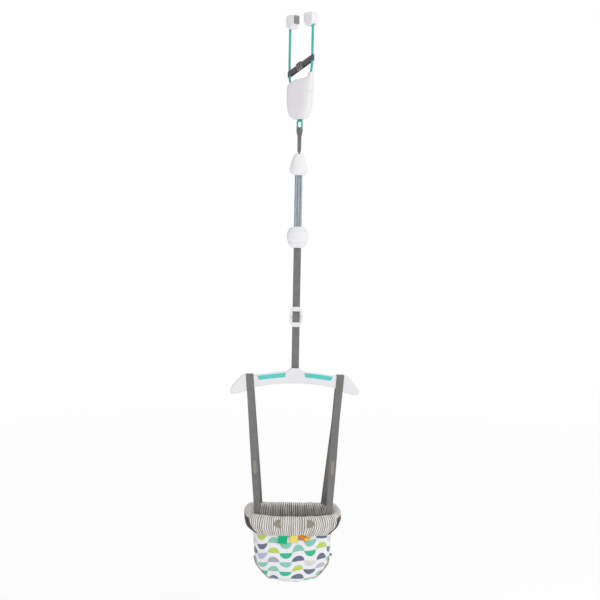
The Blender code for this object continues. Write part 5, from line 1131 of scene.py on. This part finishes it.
# Seat straps
STRAP_PLACE_X = 0.1455
FRONT_LEG_X = 0.1135
REAR_LEG_X = 0.107
LEG_TUCK = 0.028
LEG_SEWN_IN = 0.006
LEG_STEPS = 24
LEG_SLACK = 0.0012
SEWN_START_Z = HUB_TOP_Z - 0.152
SEWN_END_Z = HUB_TOP_Z - 0.181
SEWN_BOX_TOP_Z = SEWN_START_Z - 0.007
SEWN_BOX_HALF = 0.0098
SEWN_BOX_Y = LAYER_Y + WEB_THICK / 2 + 0.0001
UNDER_BAR_Z = HUB_TOP_Z - BAR_HEIGHT * 1.62
TAG_TOP_Z = HUB_TOP_Z - 0.293
TAG_LENGTH = 0.041
TAG_WIDTH = 0.011
TAG_THICK = 0.0006
TAG_SEAM_SHARE = 0.78
TAG_SEAM_LIFT = 0.00035
STRAP_LAYER = BAR_THICK / 2 + LAYER_OFF_PIN
BAR_EDGES_X = [STRAP_PLACE_X + WEB_WIDTH * k / 8 for k in range(-4, 5)]
BAR_EDGE_DROP = min(row_at(BAR_TOP_SHARES, 0, x / BAR_HALF_LENGTH)[1] for x in BAR_EDGES_X)
STRAP_TOP_Z = HUB_TOP_Z - BAR_HEIGHT * BAR_EDGE_DROP + LAYER_OFF_PIN
STRAP_BEND = (0, 0, STRAP_TOP_Z - 0.055), (0, 0, STRAP_TOP_Z - 0.115)


def collar_inner_y(x):
    """Half depth of the collar's inside where the legs are sewn in."""
    wide, deep, _ = row_at(COLLAR_RING_SHARES[2:0:-1], 2, LEG_TUCK / COLLAR_HEIGHT)
    inside = 1 - abs(x / (COLLAR_HALF_WIDTH * wide)) ** COLLAR_POWER
    return COLLAR_HALF_DEPTH * deep * max(inside, 0) ** (1 / COLLAR_POWER)


def leg_foot(side, leg_x, face):
    """Middle and width direction of a leg's foot, flat on the collar's inside."""
    dx = WEB_WIDTH
    for _ in range(6):
        near, far = (collar_inner_y(leg_x + sign * dx / 2) + LEG_SEWN_IN for sign in (-1, 1))
        dx = WEB_WIDTH * dx / hypot(dx, near - far)
    middle = Vector((side * leg_x, face * (near + far) / 2, RIM_Z - LEG_TUCK))
    return middle, Vector((-side * dx, -face * (far - near), 0)).normalized()


def leg_place(leg_x, z):
    """How far out a leg is at a level, on its way from the bar to the collar."""
    return between(STRAP_PLACE_X, leg_x, (STRAP_TOP_Z - z) / (STRAP_TOP_Z - RIM_Z))


def strap_leg(side, leg_x, face):
    """Points and width directions of one leg, from its foot in the collar up to the bar."""
    foot, across = leg_foot(side, leg_x, face)
    straight = Vector((-side, 0, 0))
    start = foot.z + LEG_TUCK * 0.6
    knots = [(foot, across), (Vector((foot.x, foot.y, start)), across)]
    for run in (k / LEG_STEPS for k in range(1, LEG_STEPS)):
        z = between(start, SEWN_END_Z, run)
        slack = sin(pi * run) * LEG_SLACK * sin(run * 9 + side)
        y = between(foot.y, face * LAYER_Y, run) + slack * (1 - run)
        turned = across.lerp(straight, clamp(run * 1.4)).normalized()
        knots.append((Vector((side * leg_place(leg_x, z), y, z)), turned))
    for y, z in ((LAYER_Y, SEWN_END_Z), (LAYER_Y, SEWN_START_Z), (STRAP_LAYER, UNDER_BAR_Z)):
        knots.append((Vector((side * leg_place(leg_x, z), face * y, z)), straight))
    return knots


def add_seat_straps(skin, thread, tag_skin):
    """Each strap goes up from its front foot, over the bar and down to its rear foot."""
    bend = STRAP_LAYER * 0.25
    over = [(-STRAP_LAYER + bend * (1 - cos(a)), STRAP_TOP_Z - bend * (1 - sin(a)))
            for a in (pi / 2 * k / 4 for k in range(5))]
    over += [(-y, z) for y, z in reversed(over)]
    for label, side in (("left", -1), ("right", 1)):
        front = strap_leg(side, FRONT_LEG_X, -1)
        rear = strap_leg(side, REAR_LEG_X, 1)
        top = [(Vector((side * STRAP_PLACE_X, y, z)), Vector((-side, 0, 0))) for y, z in over]
        knots = front + top + rear[::-1]
        path, sides = ([TURN @ vector for vector in vectors] for vectors in zip(*knots))
        piece = webbing(f"seat_strap_{label}_woven", path, sides, skin)
        bent(piece, ("spreader_bar", "seat"), *STRAP_BEND, f"seat_strap_{label}", "webbing")
        add_sewn_box(label, side, thread)
        add_tag(label, front, tag_skin, thread)


def add_sewn_box(label, side, thread):
    """The stitched box that holds the loop over the bar closed, on both of its faces."""
    rows = []
    for face, leg_x in ((-1, FRONT_LEG_X), (1, REAR_LEG_X)):
        a, b, c, d = (
            lower(side * leg_place(leg_x, z) + x, face * SEWN_BOX_Y, z)
            for z in (SEWN_END_Z, SEWN_BOX_TOP_Z) for x in (-SEWN_BOX_HALF, SEWN_BOX_HALF)
        )
        rows += [(*ends, lower(0, face, 0)) for ends in ((c, d), (a, b), (a, c), (b, d), (a, d))]
    sew(f"seat_strap_{label}_box", "seat", rows, thread, BOX_STITCH)


def point_on(knots, z):
    """Point, width direction and outward direction of a leg at a level."""
    for (a, wa), (b, wb) in zip(knots, knots[1:]):
        if a.z <= z <= b.z:
            run = (z - a.z) / (b.z - a.z)
            across = wa.lerp(wb, run).normalized()
            face = (b - a).normalized().cross(across).normalized()
            return a.lerp(b, run), across, face if face.y < 0 else -face


def add_tag(label, knots, skin, thread):
    """A plain woven patch on the front leg, stitched along its sides."""
    path, sides, outs = [], [], []
    for k in range(9):
        point, across, out = point_on(knots, TAG_TOP_Z - TAG_LENGTH * (1 - k / 8))
        path.append(TURN @ (point + out * (WEB_THICK / 2 + TAG_THICK)))
        sides.append(TURN @ across)
        outs.append(TURN @ out)
    tag = webbing(f"strap_tag_{label}_woven", path, sides, skin, TAG_WIDTH, TAG_THICK)
    carried(tag, "seat", f"strap_tag_{label}", "tan_tape")
    rows = []
    for reach in (sign * TAG_SEAM_SHARE * TAG_WIDTH / 2 for sign in (-1, 1)):
        edge = [p + side * reach + out * TAG_SEAM_LIFT for p, side, out in zip(path, sides, outs)]
        rows += [(edge[k], edge[k + 2], outs[k]) for k in range(0, 8, 2)]
    sew(f"strap_tag_{label}_seam", "seat", rows, thread, FINE_STITCH)


# Springs: the wire's section is its distance out from the coil's middle line, and height

SPRING_SPACING = 0.0084
SPRING_RADIUS = 0.0032
SPRING_PITCH = 0.00172
SPRING_END_ROOM = 0.004
SPRING_STEPS = 12
SPRING_WIRE = (
    (0.00062, -0.00083), (0.00076, -0.00045), (0.00080, 0.00000), (0.00076, 0.00045),
    (0.00062, 0.00083), (-0.00078, 0.00050), (-0.00078, -0.00050),
)


def add_springs(skin):
    """Three close-wound extension springs side by side, each coil its own turn of the wire."""
    turns = int((UPPER_PLATE_Z - LOWER_PLATE_Z - SPRING_END_ROOM) / SPRING_PITCH)
    start_z = (UPPER_PLATE_Z + LOWER_PLATE_Z) / 2 - turns * SPRING_PITCH / 2
    for k, label in enumerate(("left", "middle", "right"), -1):
        rings = []
        for i in range(turns * SPRING_STEPS + 1):
            a = 2 * pi * i / SPRING_STEPS
            wire = [(SPRING_RADIUS + out, rise + start_z + SPRING_PITCH * i / SPRING_STEPS)
                    for out, rise in SPRING_WIRE]
            rings.append([lower(k * SPRING_SPACING + r * cos(a), r * sin(a), z)
                          for r, z in wire])
        node = f"spring_{label}"
        piece = skinned(f"{node}_wound", rings, lambda r, i: (0.0005 * i, 0.0002 * r), skin)
        bent(piece, ("upper_cap", "lower_cap"), (0, 0, UPPER_PLATE_Z), (0, 0, LOWER_PLATE_Z),
             node, "spring_steel")


# Seat collar

COLLAR_AROUND = 192
COLLAR_STEPS = 4
COLLAR_SHRINK = 0.985
COLLAR_PRESSURE = 3.5
COLLAR_SWELL = 0.006
FRONT_SAG = 0.0045
SETTLE_FRAMES = 18


def wrinkle(point, scale, amount, seed):
    return amount * noise.fractal(point * scale + Vector((seed, 0, 0)), 1.0, 2.0, 3)


def settle(piece, pins):
    """Cloth simulation: the stuffed piece swells between its pinned seams, and is then fixed."""
    rest = [v.co.copy() for v in piece.data.vertices]
    piece.vertex_groups.new(name="seams").add(pins, 1.0, "REPLACE")
    cloth = piece.modifiers.new("cloth", "CLOTH")
    settings = cloth.settings
    settings.quality = 6
    settings.mass = 0.25
    settings.tension_stiffness = settings.compression_stiffness = 12
    settings.shear_stiffness = 4
    settings.bending_stiffness = 0.4
    settings.shrink_min = -0.03
    settings.use_pressure = True
    settings.uniform_pressure_force = COLLAR_PRESSURE
    settings.effector_weights.gravity = 0.0
    settings.vertex_group_mass = "seams"
    cloth.collision_settings.use_collision = False
    scene = bpy.context.scene
    for k in range(1, SETTLE_FRAMES + 1):
        scene.frame_set(k)
    swollen = piece.evaluated_get(bpy.context.evaluated_depsgraph_get()).to_mesh()
    for v, a, b in zip(piece.data.vertices, rest, [w.co.copy() for w in swollen.vertices]):
        move = b - a
        v.co = a + (move if move.length <= COLLAR_SWELL else move.normalized() * COLLAR_SWELL)
    piece.modifiers.remove(cloth)
    scene.frame_set(1)


def shaded_underside_share(i, run):
    """1 for a point of the collar inside the patch of painted shade under its two ends."""
    ring = i / COLLAR_AROUND
    near = min(abs(ring - 0.25), abs(ring - 0.75))
    start, end = SHADED_UNDERSIDE_SPAN_SHARES
    inside = start < run < end
    return float(inside and near < between(*SHADED_UNDERSIDE_REACH_SHARES, (run - start) / (end - start)))


def add_collar(skin):
    """A stuffed band round the seat's mouth; the sewn lines at its foot and rim draw it in."""
    section = curve_through(COLLAR_RING_SHARES, COLLAR_STEPS, closed=True)
    rings = []
    for wide, deep, drop in section:
        outline = ring_points(
            COLLAR_HALF_WIDTH * wide * COLLAR_SHRINK, COLLAR_HALF_DEPTH * deep * COLLAR_SHRINK,
            RIM_Z - COLLAR_HEIGHT * drop, 360, COLLAR_POWER,
        )
        rings.append(even_ring(outline, COLLAR_AROUND, 90))
    places = runs([ring[0] for ring in rings + rings[:1]])
    for r, ring in enumerate(rings):
        for i, p in enumerate(ring):
            out = Vector((p.x / COLLAR_HALF_WIDTH, p.y / COLLAR_HALF_DEPTH, 0)).normalized()
            fold = wrinkle(p, 26, 0.0022, 3.0) + wrinkle(p, 70, 0.0007, 8.0)
            gather = 0.0009 * sin(i * 0.75 + 3 * wrinkle(p, 12, 1.0, 2.0))
            gather *= max(section[r][2] - 0.5, 0) * 2
            p += out * (fold + gather) + Vector((0, 0, wrinkle(p, 30, 0.0014, 5.0)))
            # The patch of painted shade under the ends is set in as well
            p -= out * (SHADED_UNDERSIDE_INSET * shaded_underside_share(i, places[r] / places[-1]))
            p.z -= FRONT_SAG * clamp(max(-p.y / COLLAR_HALF_DEPTH, 0) * 1.3) ** 2
    piece = skinned(
        "seat_collar_padded", [[TURN @ p for p in ring] for ring in rings],
        lambda r, i: (COLLAR_GIRTH * i / COLLAR_AROUND, COLLAR_RUN * places[r] / places[-1]),
        skin, closed=True,
    )
    sewn = [r for r, row in enumerate(section) if row[2] > 0.9]
    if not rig.quick():
        settle(piece, [r * COLLAR_AROUND + i for r in sewn for i in range(COLLAR_AROUND)])
    smoothed(piece)
    carried(piece, "seat", "seat_collar", "striped_cloth")
    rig.padded(piece, 0.5)
    back = TURN.inverted()
    tree = BVHTree.FromPolygons([back @ v.co for v in piece.data.vertices],
                                [tuple(p.vertices) for p in piece.data.polygons])

    def front(x, z):
        """How far forward the collar's face is, in the hanging frame."""
        place = tree.ray_cast(Vector((x, -1, z)), Vector((0, 1, 0)))[0]
        return place.y if place else -COLLAR_HALF_DEPTH

    return front


# Seat bag

BAG_AROUND = 192
BAG_STEPS = 7
BAG_THICK = 0.0016
BAG_INSET = 0.0012
BAG_TIP_SHARE = 0.02
# Cloth coordinate at which the back starts
BAG_BACK_START = 0.474
BAG_FADE_START = 0.94
# By hole_distance: faces that are cut away, and edges that are drawn onto the hole's outline
HOLE_CUT = 1.02
HOLE_EDGE = 1.15
# Tape round a leg hole: its section, how far it stands out, and where its stitches are
BINDING_RADIUS = 0.003
BINDING_HALF = (0.0048, 0.0028)
BINDING_OUT = 0.0004
BINDING_LIFT = 0.0006
BINDING_SEAM = (0.0036, 0.0022)
BINDING_POINTS = 56
BINDING_SIDES = 12


def bag_section(z):
    """Half width, half depth and power of the bag's outside at a level, or None."""
    row = row_at(BAG_LEVELS, 2, (z - SEAT_BOTTOM_Z) / BAG_HEIGHT)
    return row and (BAG_HALF_WIDTH * row[0], BAG_HALF_DEPTH * row[1], row[3])


def hole_axes(side):
    """Centre of a leg hole, its axis out of the bag and the direction up across it."""
    c, s = cos(LEG_HOLE_ANGLE), sin(LEG_HOLE_ANGLE)
    centre = Vector((side * LEG_HOLE_X, 0, SEAT_BOTTOM_Z + LEG_HOLE_RISE))
    return centre, Vector((side * s, 0, -c)), Vector((side * c, 0, s))


def hole_distance(point, side):
    """1 on the leg hole's edge, less inside it; far away on the other side of the bag."""
    centre, axis, across = hole_axes(side)
    away = point - centre
    if away.dot(axis) < -BAG_HALF_WIDTH * 0.3:
        return 9.0
    return hypot(away.dot(across) / LEG_HOLE_WIDE, away.y / LEG_HOLE_DEEP)


def bag_folds(point, share):
    """How far the cloth stands out at a point: gathers under the collar and soft sags below."""
    angle = atan2(point.y, point.x)
    gather = 0.0014 * sin(angle * 34 + 2.5 * sin(angle * 5)) * max(share - 0.55, 0) * 1.6
    sag = wrinkle(Vector((point.x, point.y, point.z * 1.8)), 16, 0.0030, 1.0)
    pull = 0.0
    for side in (-1, 1):
        ridge = sin(6 * atan2(point.y, point.z - SEAT_BOTTOM_Z) + side)
        pull += 0.0016 * ridge * exp(-((hole_distance(point, side) - 1.35) / 0.35) ** 2)
    return gather + sag * (1 - share * 0.6) + pull


def add_bag(skin, lining):
    """A sagging shell of printed cloth, open at the top, with leg holes and a striped lining."""
    rings = []
    for wide, deep, rise, power in curve_through(BAG_LEVELS, BAG_STEPS):
        outline = ring_points(BAG_HALF_WIDTH * wide, BAG_HALF_DEPTH * deep,
                              SEAT_BOTTOM_Z + BAG_HEIGHT * max(rise, 0), 480, power)
        rings.append(even_ring(outline, BAG_AROUND, 360))
    tip = [Vector((p.x * BAG_TIP_SHARE, p.y * BAG_TIP_SHARE, SEAT_BOTTOM_Z)) for p in rings[0]]
    rings = [tip] + rings
    downs = runs([ring[0] for ring in rings])
    quarter = BAG_AROUND // 4
    girths = [runs(ring[: quarter + 1])[-1] / quarter for ring in rings]

    def place(r, i):
        """Cloth coordinates: the front and the back are cut apart, with seams at the sides."""
        front = i <= quarter or i >= 3 * quarter
        if front:
            u = (i if i <= quarter else i - BAG_AROUND) * girths[r]
        else:
            u = (i - 2 * quarter) * girths[r] + BAG_BACK_START
        return u, downs[r] - downs[-1]

    for ring in rings:
        share = max((ring[0].z - SEAT_BOTTOM_Z) / BAG_HEIGHT, 0)
        fade = 1.0 if share < BAG_FADE_START else (1 - share) / (1 - BAG_FADE_START)
        for p in ring:
            out = Vector((p.x / BAG_HALF_WIDTH ** 2, p.y / BAG_HALF_DEPTH ** 2, (share - 0.5) * 6))
            out.normalize()
            p += out * (bag_folds(p, share) * fade) - out * BAG_INSET
    piece = skinned("seat_bag_cloth", rings, place, skin, capped=False)
    trim_holes(piece)
    piece.data.transform(TURN)
    piece.data.materials.append(lining)
    wall = piece.modifiers.new("cloth", "SOLIDIFY")
    wall.thickness = BAG_THICK
    wall.offset = -1
    wall.material_offset = 1
    smoothed(piece)
    carried(piece, "seat", "seat_bag", "print_cloth")


def trim_holes(piece):
    """Cuts the leg holes and draws the cloth's edge onto their outline."""
    shape = bmesh.new()
    shape.from_mesh(piece.data)
    for side in (-1, 1):
        distance = {v: hole_distance(v.co, side) for v in shape.verts}
        gone = [f for f in shape.faces if max(distance[v] for v in f.verts) < HOLE_CUT]
        bmesh.ops.delete(shape, geom=gone, context="FACES")
        centre, axis, _ = hole_axes(side)
        for v in [v for v in shape.verts if v.is_boundary and distance[v] < HOLE_EDGE]:
            depth = axis * (v.co - centre).dot(axis)
            v.co = centre + depth + (v.co - centre - depth) / max(distance[v], 0.2)
    bmesh.ops.delete(shape, geom=[v for v in shape.verts if not v.link_faces], context="VERTS")
    shape.to_mesh(piece.data)
    shape.free()


def inside_bag(point):
    section = bag_section(point.z)
    if not section:
        return False
    half_x, half_y, power = section
    return abs(point.x / half_x) ** power + abs(point.y / half_y) ** power < 1


def binding_path(side):
    """The leg hole's outline, laid on the bag's outside along the hole's axis."""
    centre, axis, across = hole_axes(side)
    shrink = BINDING_RADIUS + 2 * TOUCH_GAP
    path = []
    for a in angles(BINDING_POINTS):
        point = centre + across * ((LEG_HOLE_WIDE - shrink) * cos(a))
        point += Vector((0, (LEG_HOLE_DEEP - shrink) * sin(a), 0))
        near, far = point - axis * BAG_HALF_WIDTH / 2, point + axis * BAG_HALF_WIDTH
        for _ in range(24):
            middle = (near + far) / 2
            near, far = (middle, far) if inside_bag(middle) else (near, middle)
        path.append(near + axis * BINDING_LIFT)
    return path


def add_binding(label, side, skin, thread):
    """Bias tape folded over the leg hole's edge, with a row of stitches round it."""
    path = binding_path(side)
    middle = sum(path, Vector()) / len(path)
    axis = hole_axes(side)[1]
    lengths = runs(path + path[:1])
    rings, rows = [], []
    for i, (point, along) in enumerate(zip(path, directions(path, closed=True))):
        out = point - middle
        out = (out - along * out.dot(along)).normalized()
        up = along.cross(out).normalized()
        pucker = 1 + 0.07 * sin(i * 2.1) + 0.05 * sin(i * 3.7)
        wide, tall = out * BINDING_HALF[0], up * (BINDING_HALF[1] * pucker)
        centre = point + out * BINDING_OUT
        rings.append([TURN @ (centre + wide * cos(a) + tall * sin(a))
                      for a in angles(BINDING_SIDES)])
        if i % 2 == 0:
            lift = up if up.dot(axis) > 0 else -up
            edge = out * BINDING_SEAM[0] + lift * BINDING_SEAM[1]
            rows.append((TURN @ (point + edge), TURN @ (path[i + 1] + edge), TURN @ lift))
    name = f"leg_binding_{label}"
    piece = skinned(f"{name}_tape", rings, lambda r, i: (0.0012 * i, lengths[r]), skin, True)
    carried(piece, "seat", name, "tan_tape")
    sew(f"{name}_seam", "seat", rows, thread, BINDING_STITCH)


# Ribbon tabs, tape tab and toy loops

RIBBON_THICK = 0.0005
TAB_Y = -0.0899
FOLD_HALF = 0.0009
TWIST_Y = -0.0897
TWIST_WIDTH = 0.0125
# Twisted ribbon: place beside its middle, in front of the bag and below the collar, and turn
TWIST_POINTS = (
    (-0.0190, 0.0002, 0.0000, -22), (-0.0135, 0.0014, 0.0058, -38), (-0.0065, 0.0028, 0.0104, -45),
    (0.0000, 0.0036, 0.0130, -42), (0.0050, 0.0038, 0.0140, -40), (0.0092, 0.0032, 0.0120, -38),
    (0.0100, 0.0024, 0.0080, -34), (0.0078, 0.0016, 0.0040, -30), (0.0050, 0.0006, 0.0000, -25),
)
SIDE_TAB_Z = SEAT_BOTTOM_Z + 0.080
SIDE_TAB_LENGTH = 0.007
SIDE_TAB_HEIGHT = 0.009
SIDE_TAB_THICK = 0.0006
# Toy loop: shares of its outline from edge to middle, and how far each stands off the collar
TOY_LOOP_RINGS = (
    (1.0, -0.0010), (1.0, 0.0012), (0.95, 0.0019), (0.75, 0.0019), (0.55, 0.0018), (0.30, 0.0018),
    (0.05, 0.0018),
)
TOY_LOOP_HALF = 0.0115
TOY_LOOP_TALL = 0.0130
TOY_LOOP_RISE = 0.0050


def add_ribbon(colour, kind, path, sides, skin, width):
    piece = webbing(f"ribbon_tab_{colour}_{kind}", path, sides, skin, width, RIBBON_THICK)
    carried(piece, "seat", f"ribbon_tab_{colour}", f"{colour}_ribbon")


def add_folded_tab(colour, centre_x, width, skin, lean=0.0, length=0.025):
    """A ribbon folded double, its fold hanging down and its ends under the collar."""
    top = levels_of(f"ribbon_tab_{colour}")[1]
    pairs = [(0.0004, 0), (0.0007, length * 0.5)]
    pairs += [(y, length - 0.0012 - z) for y, z in arc(0, FOLD_HALF, 0, -180, 4)]
    pairs += [(-0.0016, length * 0.5), (-0.0006, 0)]
    path = [lower(centre_x + lean * drop / length, TAB_Y + y, top - drop) for y, drop in pairs]
    path = rounded_path(path)
    sides = [lower(1, 0.03 * sin(9 * k / len(path)), lean * 2) for k in range(len(path))]
    add_ribbon(colour, "fold", path, sides, skin, width)


def add_twisted_tab(colour, centre_x, skin):
    """A two-coloured ribbon that twists as it goes down and back up."""
    top = levels_of(f"ribbon_tab_{colour}")[1]
    path, sides = [], []
    for x, out, drop, turn in curve_through(TWIST_POINTS, 5):
        path.append(lower(centre_x + x, TWIST_Y - out, top - drop))
        a = radians(turn)
        sides.append(lower(cos(a), 0.15 * sin(3 * a), -sin(a)))
    add_ribbon(colour, "twist", path, sides, skin, TWIST_WIDTH)


def add_side_tab(skin, thread):
    """A loop of tape that stands out of the right side seam."""
    start = bag_section(SIDE_TAB_Z + SIDE_TAB_HEIGHT)[0] + TOUCH_GAP
    end = start + SIDE_TAB_LENGTH
    pairs = [(start, 0.0004), (start + 0.003, 0.0007), (end - 0.0012, 0.0009),
             (end - 0.0003, 0.0006)]
    pairs += [(end, 0.0)] + [(x, -y) for x, y in reversed(pairs)]
    path = rounded_path([lower(x, y, SIDE_TAB_Z) for x, y in pairs], 1)
    sides = [Vector((0, 0, 1))] * len(path)
    piece = webbing("side_tab_fold", path, sides, skin, SIDE_TAB_HEIGHT, SIDE_TAB_THICK)
    carried(piece, "seat", "side_tab", "tan_tape")
    rows = []
    for face in (-1, 1):
        ends = [lower(start + 0.0016, face * 0.0010, SIDE_TAB_Z + z) for z in (-0.0038, 0.0038)]
        rows.append((*ends, lower(0, face, 0)))
    sew("side_tab_seam", "seat", rows, thread, TAB_STITCH)


def add_toy_loop(label, centre_x, front, skin, thread):
    """A half-round patch of tape on the collar's front, its round side away from the middle."""
    node = f"toy_loop_{label}"
    side = copysign(1, centre_x)
    centre_z = sum(levels_of(node)) / 2 + TOY_LOOP_RISE
    straight = centre_x - side * TOY_LOOP_HALF
    outline = [(straight + side * 2 * TOY_LOOP_HALF * cos(a) ** 0.8 - centre_x,
                TOY_LOOP_TALL * sin(a)) for a in map(radians, range(-90, 91, 12))]

    def on_collar(x, z, lift):
        return lower(x, front(x, z) - lift, z)

    rings = [[on_collar(centre_x + x * scale, centre_z + z * scale, lift) for x, z in outline]
             for scale, lift in TOY_LOOP_RINGS]
    piece = skinned(f"{node}_tape", rings, lambda r, i: (0.002 * i, 0.003 * r), skin)
    carried(piece, "seat", node, "tan_tape")
    ends = [on_collar(straight + side * 0.0018, centre_z + z, 0.0021)
            for z in (-TOY_LOOP_TALL * 0.8, TOY_LOOP_TALL * 0.8)]
    sew(f"{node}_seam", "seat", [(*ends, lower(0, -1, 0))], thread, FINE_STITCH)


def main():
    forward, right = add_camera()
    add_room(right)
    add_floor()
    add_key_light(forward, right)

    white = plastic("satin_white", (0.80, 0.80, 0.815), (0.765, 0.765, 0.785), 0.36)
    cap_colours = (0.83, 0.83, 0.845), (0.80, 0.80, 0.82), 0.32
    upper_white = plastic("upper_cap_white", *cap_colours)
    lower_seams = (LOWER_CAP_BOTTOM_Z + 0.017, LOWER_CAP_TOP_Z - 0.015)
    lower_white = plastic("lower_cap_white", *cap_colours, lower_seams)
    clamp_white = plastic("clamp_white", (0.84, 0.82, 0.84), (0.80, 0.785, 0.805), 0.42)
    inset = plastic("turquoise_moulding", (0.085, 0.63, 0.58), (0.07, 0.57, 0.53), 0.40)
    buckle = plastic("buckle_grey", (0.27, 0.25, 0.26), (0.22, 0.205, 0.215), 0.42)
    turquoise = coated_metal("turquoise_coat", (0.05, 0.46, 0.43), (0.035, 0.39, 0.365))
    steel = bare_metal("zinc_steel", (0.62, 0.63, 0.66), (0.50, 0.51, 0.54), 0.32)
    spring = bare_metal("spring_wire", (0.47, 0.53, 0.59), (0.34, 0.40, 0.46), 0.38)
    rubber = rubber_skin("grip_rubber_skin", (0.30, 0.295, 0.30))
    grey = webbing_skin("grey_webbing", (0.225, 0.220, 0.216), (0.130, 0.127, 0.125))
    dark = webbing_skin("dark_webbing", (0.110, 0.101, 0.104), (0.060, 0.054, 0.056))
    thread = thread_skin("grey_thread", (0.33, 0.32, 0.31))
    tan_thread = thread_skin("tan_thread", (0.36, 0.31, 0.26))
    tan = tape_skin("tan_tape_skin", (0.33, 0.295, 0.25), (0.25, 0.22, 0.185))
    beige = tape_skin("beige_binding", (0.56, 0.50, 0.44), (0.45, 0.40, 0.35))
    stripes = striped_skin("striped_cotton")
    # Each ribbon's second colour is the painted shade at its edges
    green = ribbon_skin("green_satin", (0.003, 0.50, 0.235), (0.004, 0.40, 0.20), 14.0)
    yellow = ribbon_skin("yellow_satin", (0.93, 0.76, 0.16), (0.85, 0.50, 0.06), 12.5)
    orange = ribbon_skin("orange_satin", (0.84, 0.22, 0.01), (0.55, 0.16, 0.01), 6.25,
                         (0.89, 0.62, 0.11), 22.0)

    dress_nodes([
        (turquoise, ["front_arm", "rear_arm", "load_hook"]),
        (clamp_white, ["housing_left_shell", "housing_right_shell", "front_pad", "rear_pad"]),
        (rubber, ["front_pad_grip", "rear_pad_grip"]),
        (steel, [node for node in frame["nodes"] if any(word in node for word in STEEL_WORDS)]),
        (upper_white, ["upper_cap_front", "upper_cap_rear"]),
        (lower_white, ["lower_cap_front", "lower_cap_rear"]),
        (white, ["spreader_bar"]),
        (inset, ["bar_inset_left", "bar_inset_right"]),
    ])
    add_hook_strap(grey, thread)
    add_height_strap(grey, thread)
    add_adjuster(white)
    add_safety_strap(dark, thread)
    add_slide(buckle)
    add_seat_straps(grey, thread, tan)
    add_springs(spring)
    front = add_collar(stripes)
    add_bag(print_skin("printed_cotton"), stripes)
    add_binding("left", -1, beige, tan_thread)
    add_binding("right", 1, beige, tan_thread)
    add_folded_tab("green", -0.0318, 0.028, green, -0.002, 0.0285)
    add_folded_tab("yellow", 0.003, 0.025, yellow)
    add_twisted_tab("orange", 0.0385, orange)
    add_toy_loop("left", -0.050, front, tan, tan_thread)
    add_toy_loop("right", 0.0525, front, tan, tan_thread)
    add_side_tab(tan, tan_thread)


main()

boxes = {
    "cad": [list(corner) for corner in cad_box],
    "visual": [list(corner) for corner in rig.bounds()],
}
with open("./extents.json", "w") as out:
    json.dump(boxes, out)
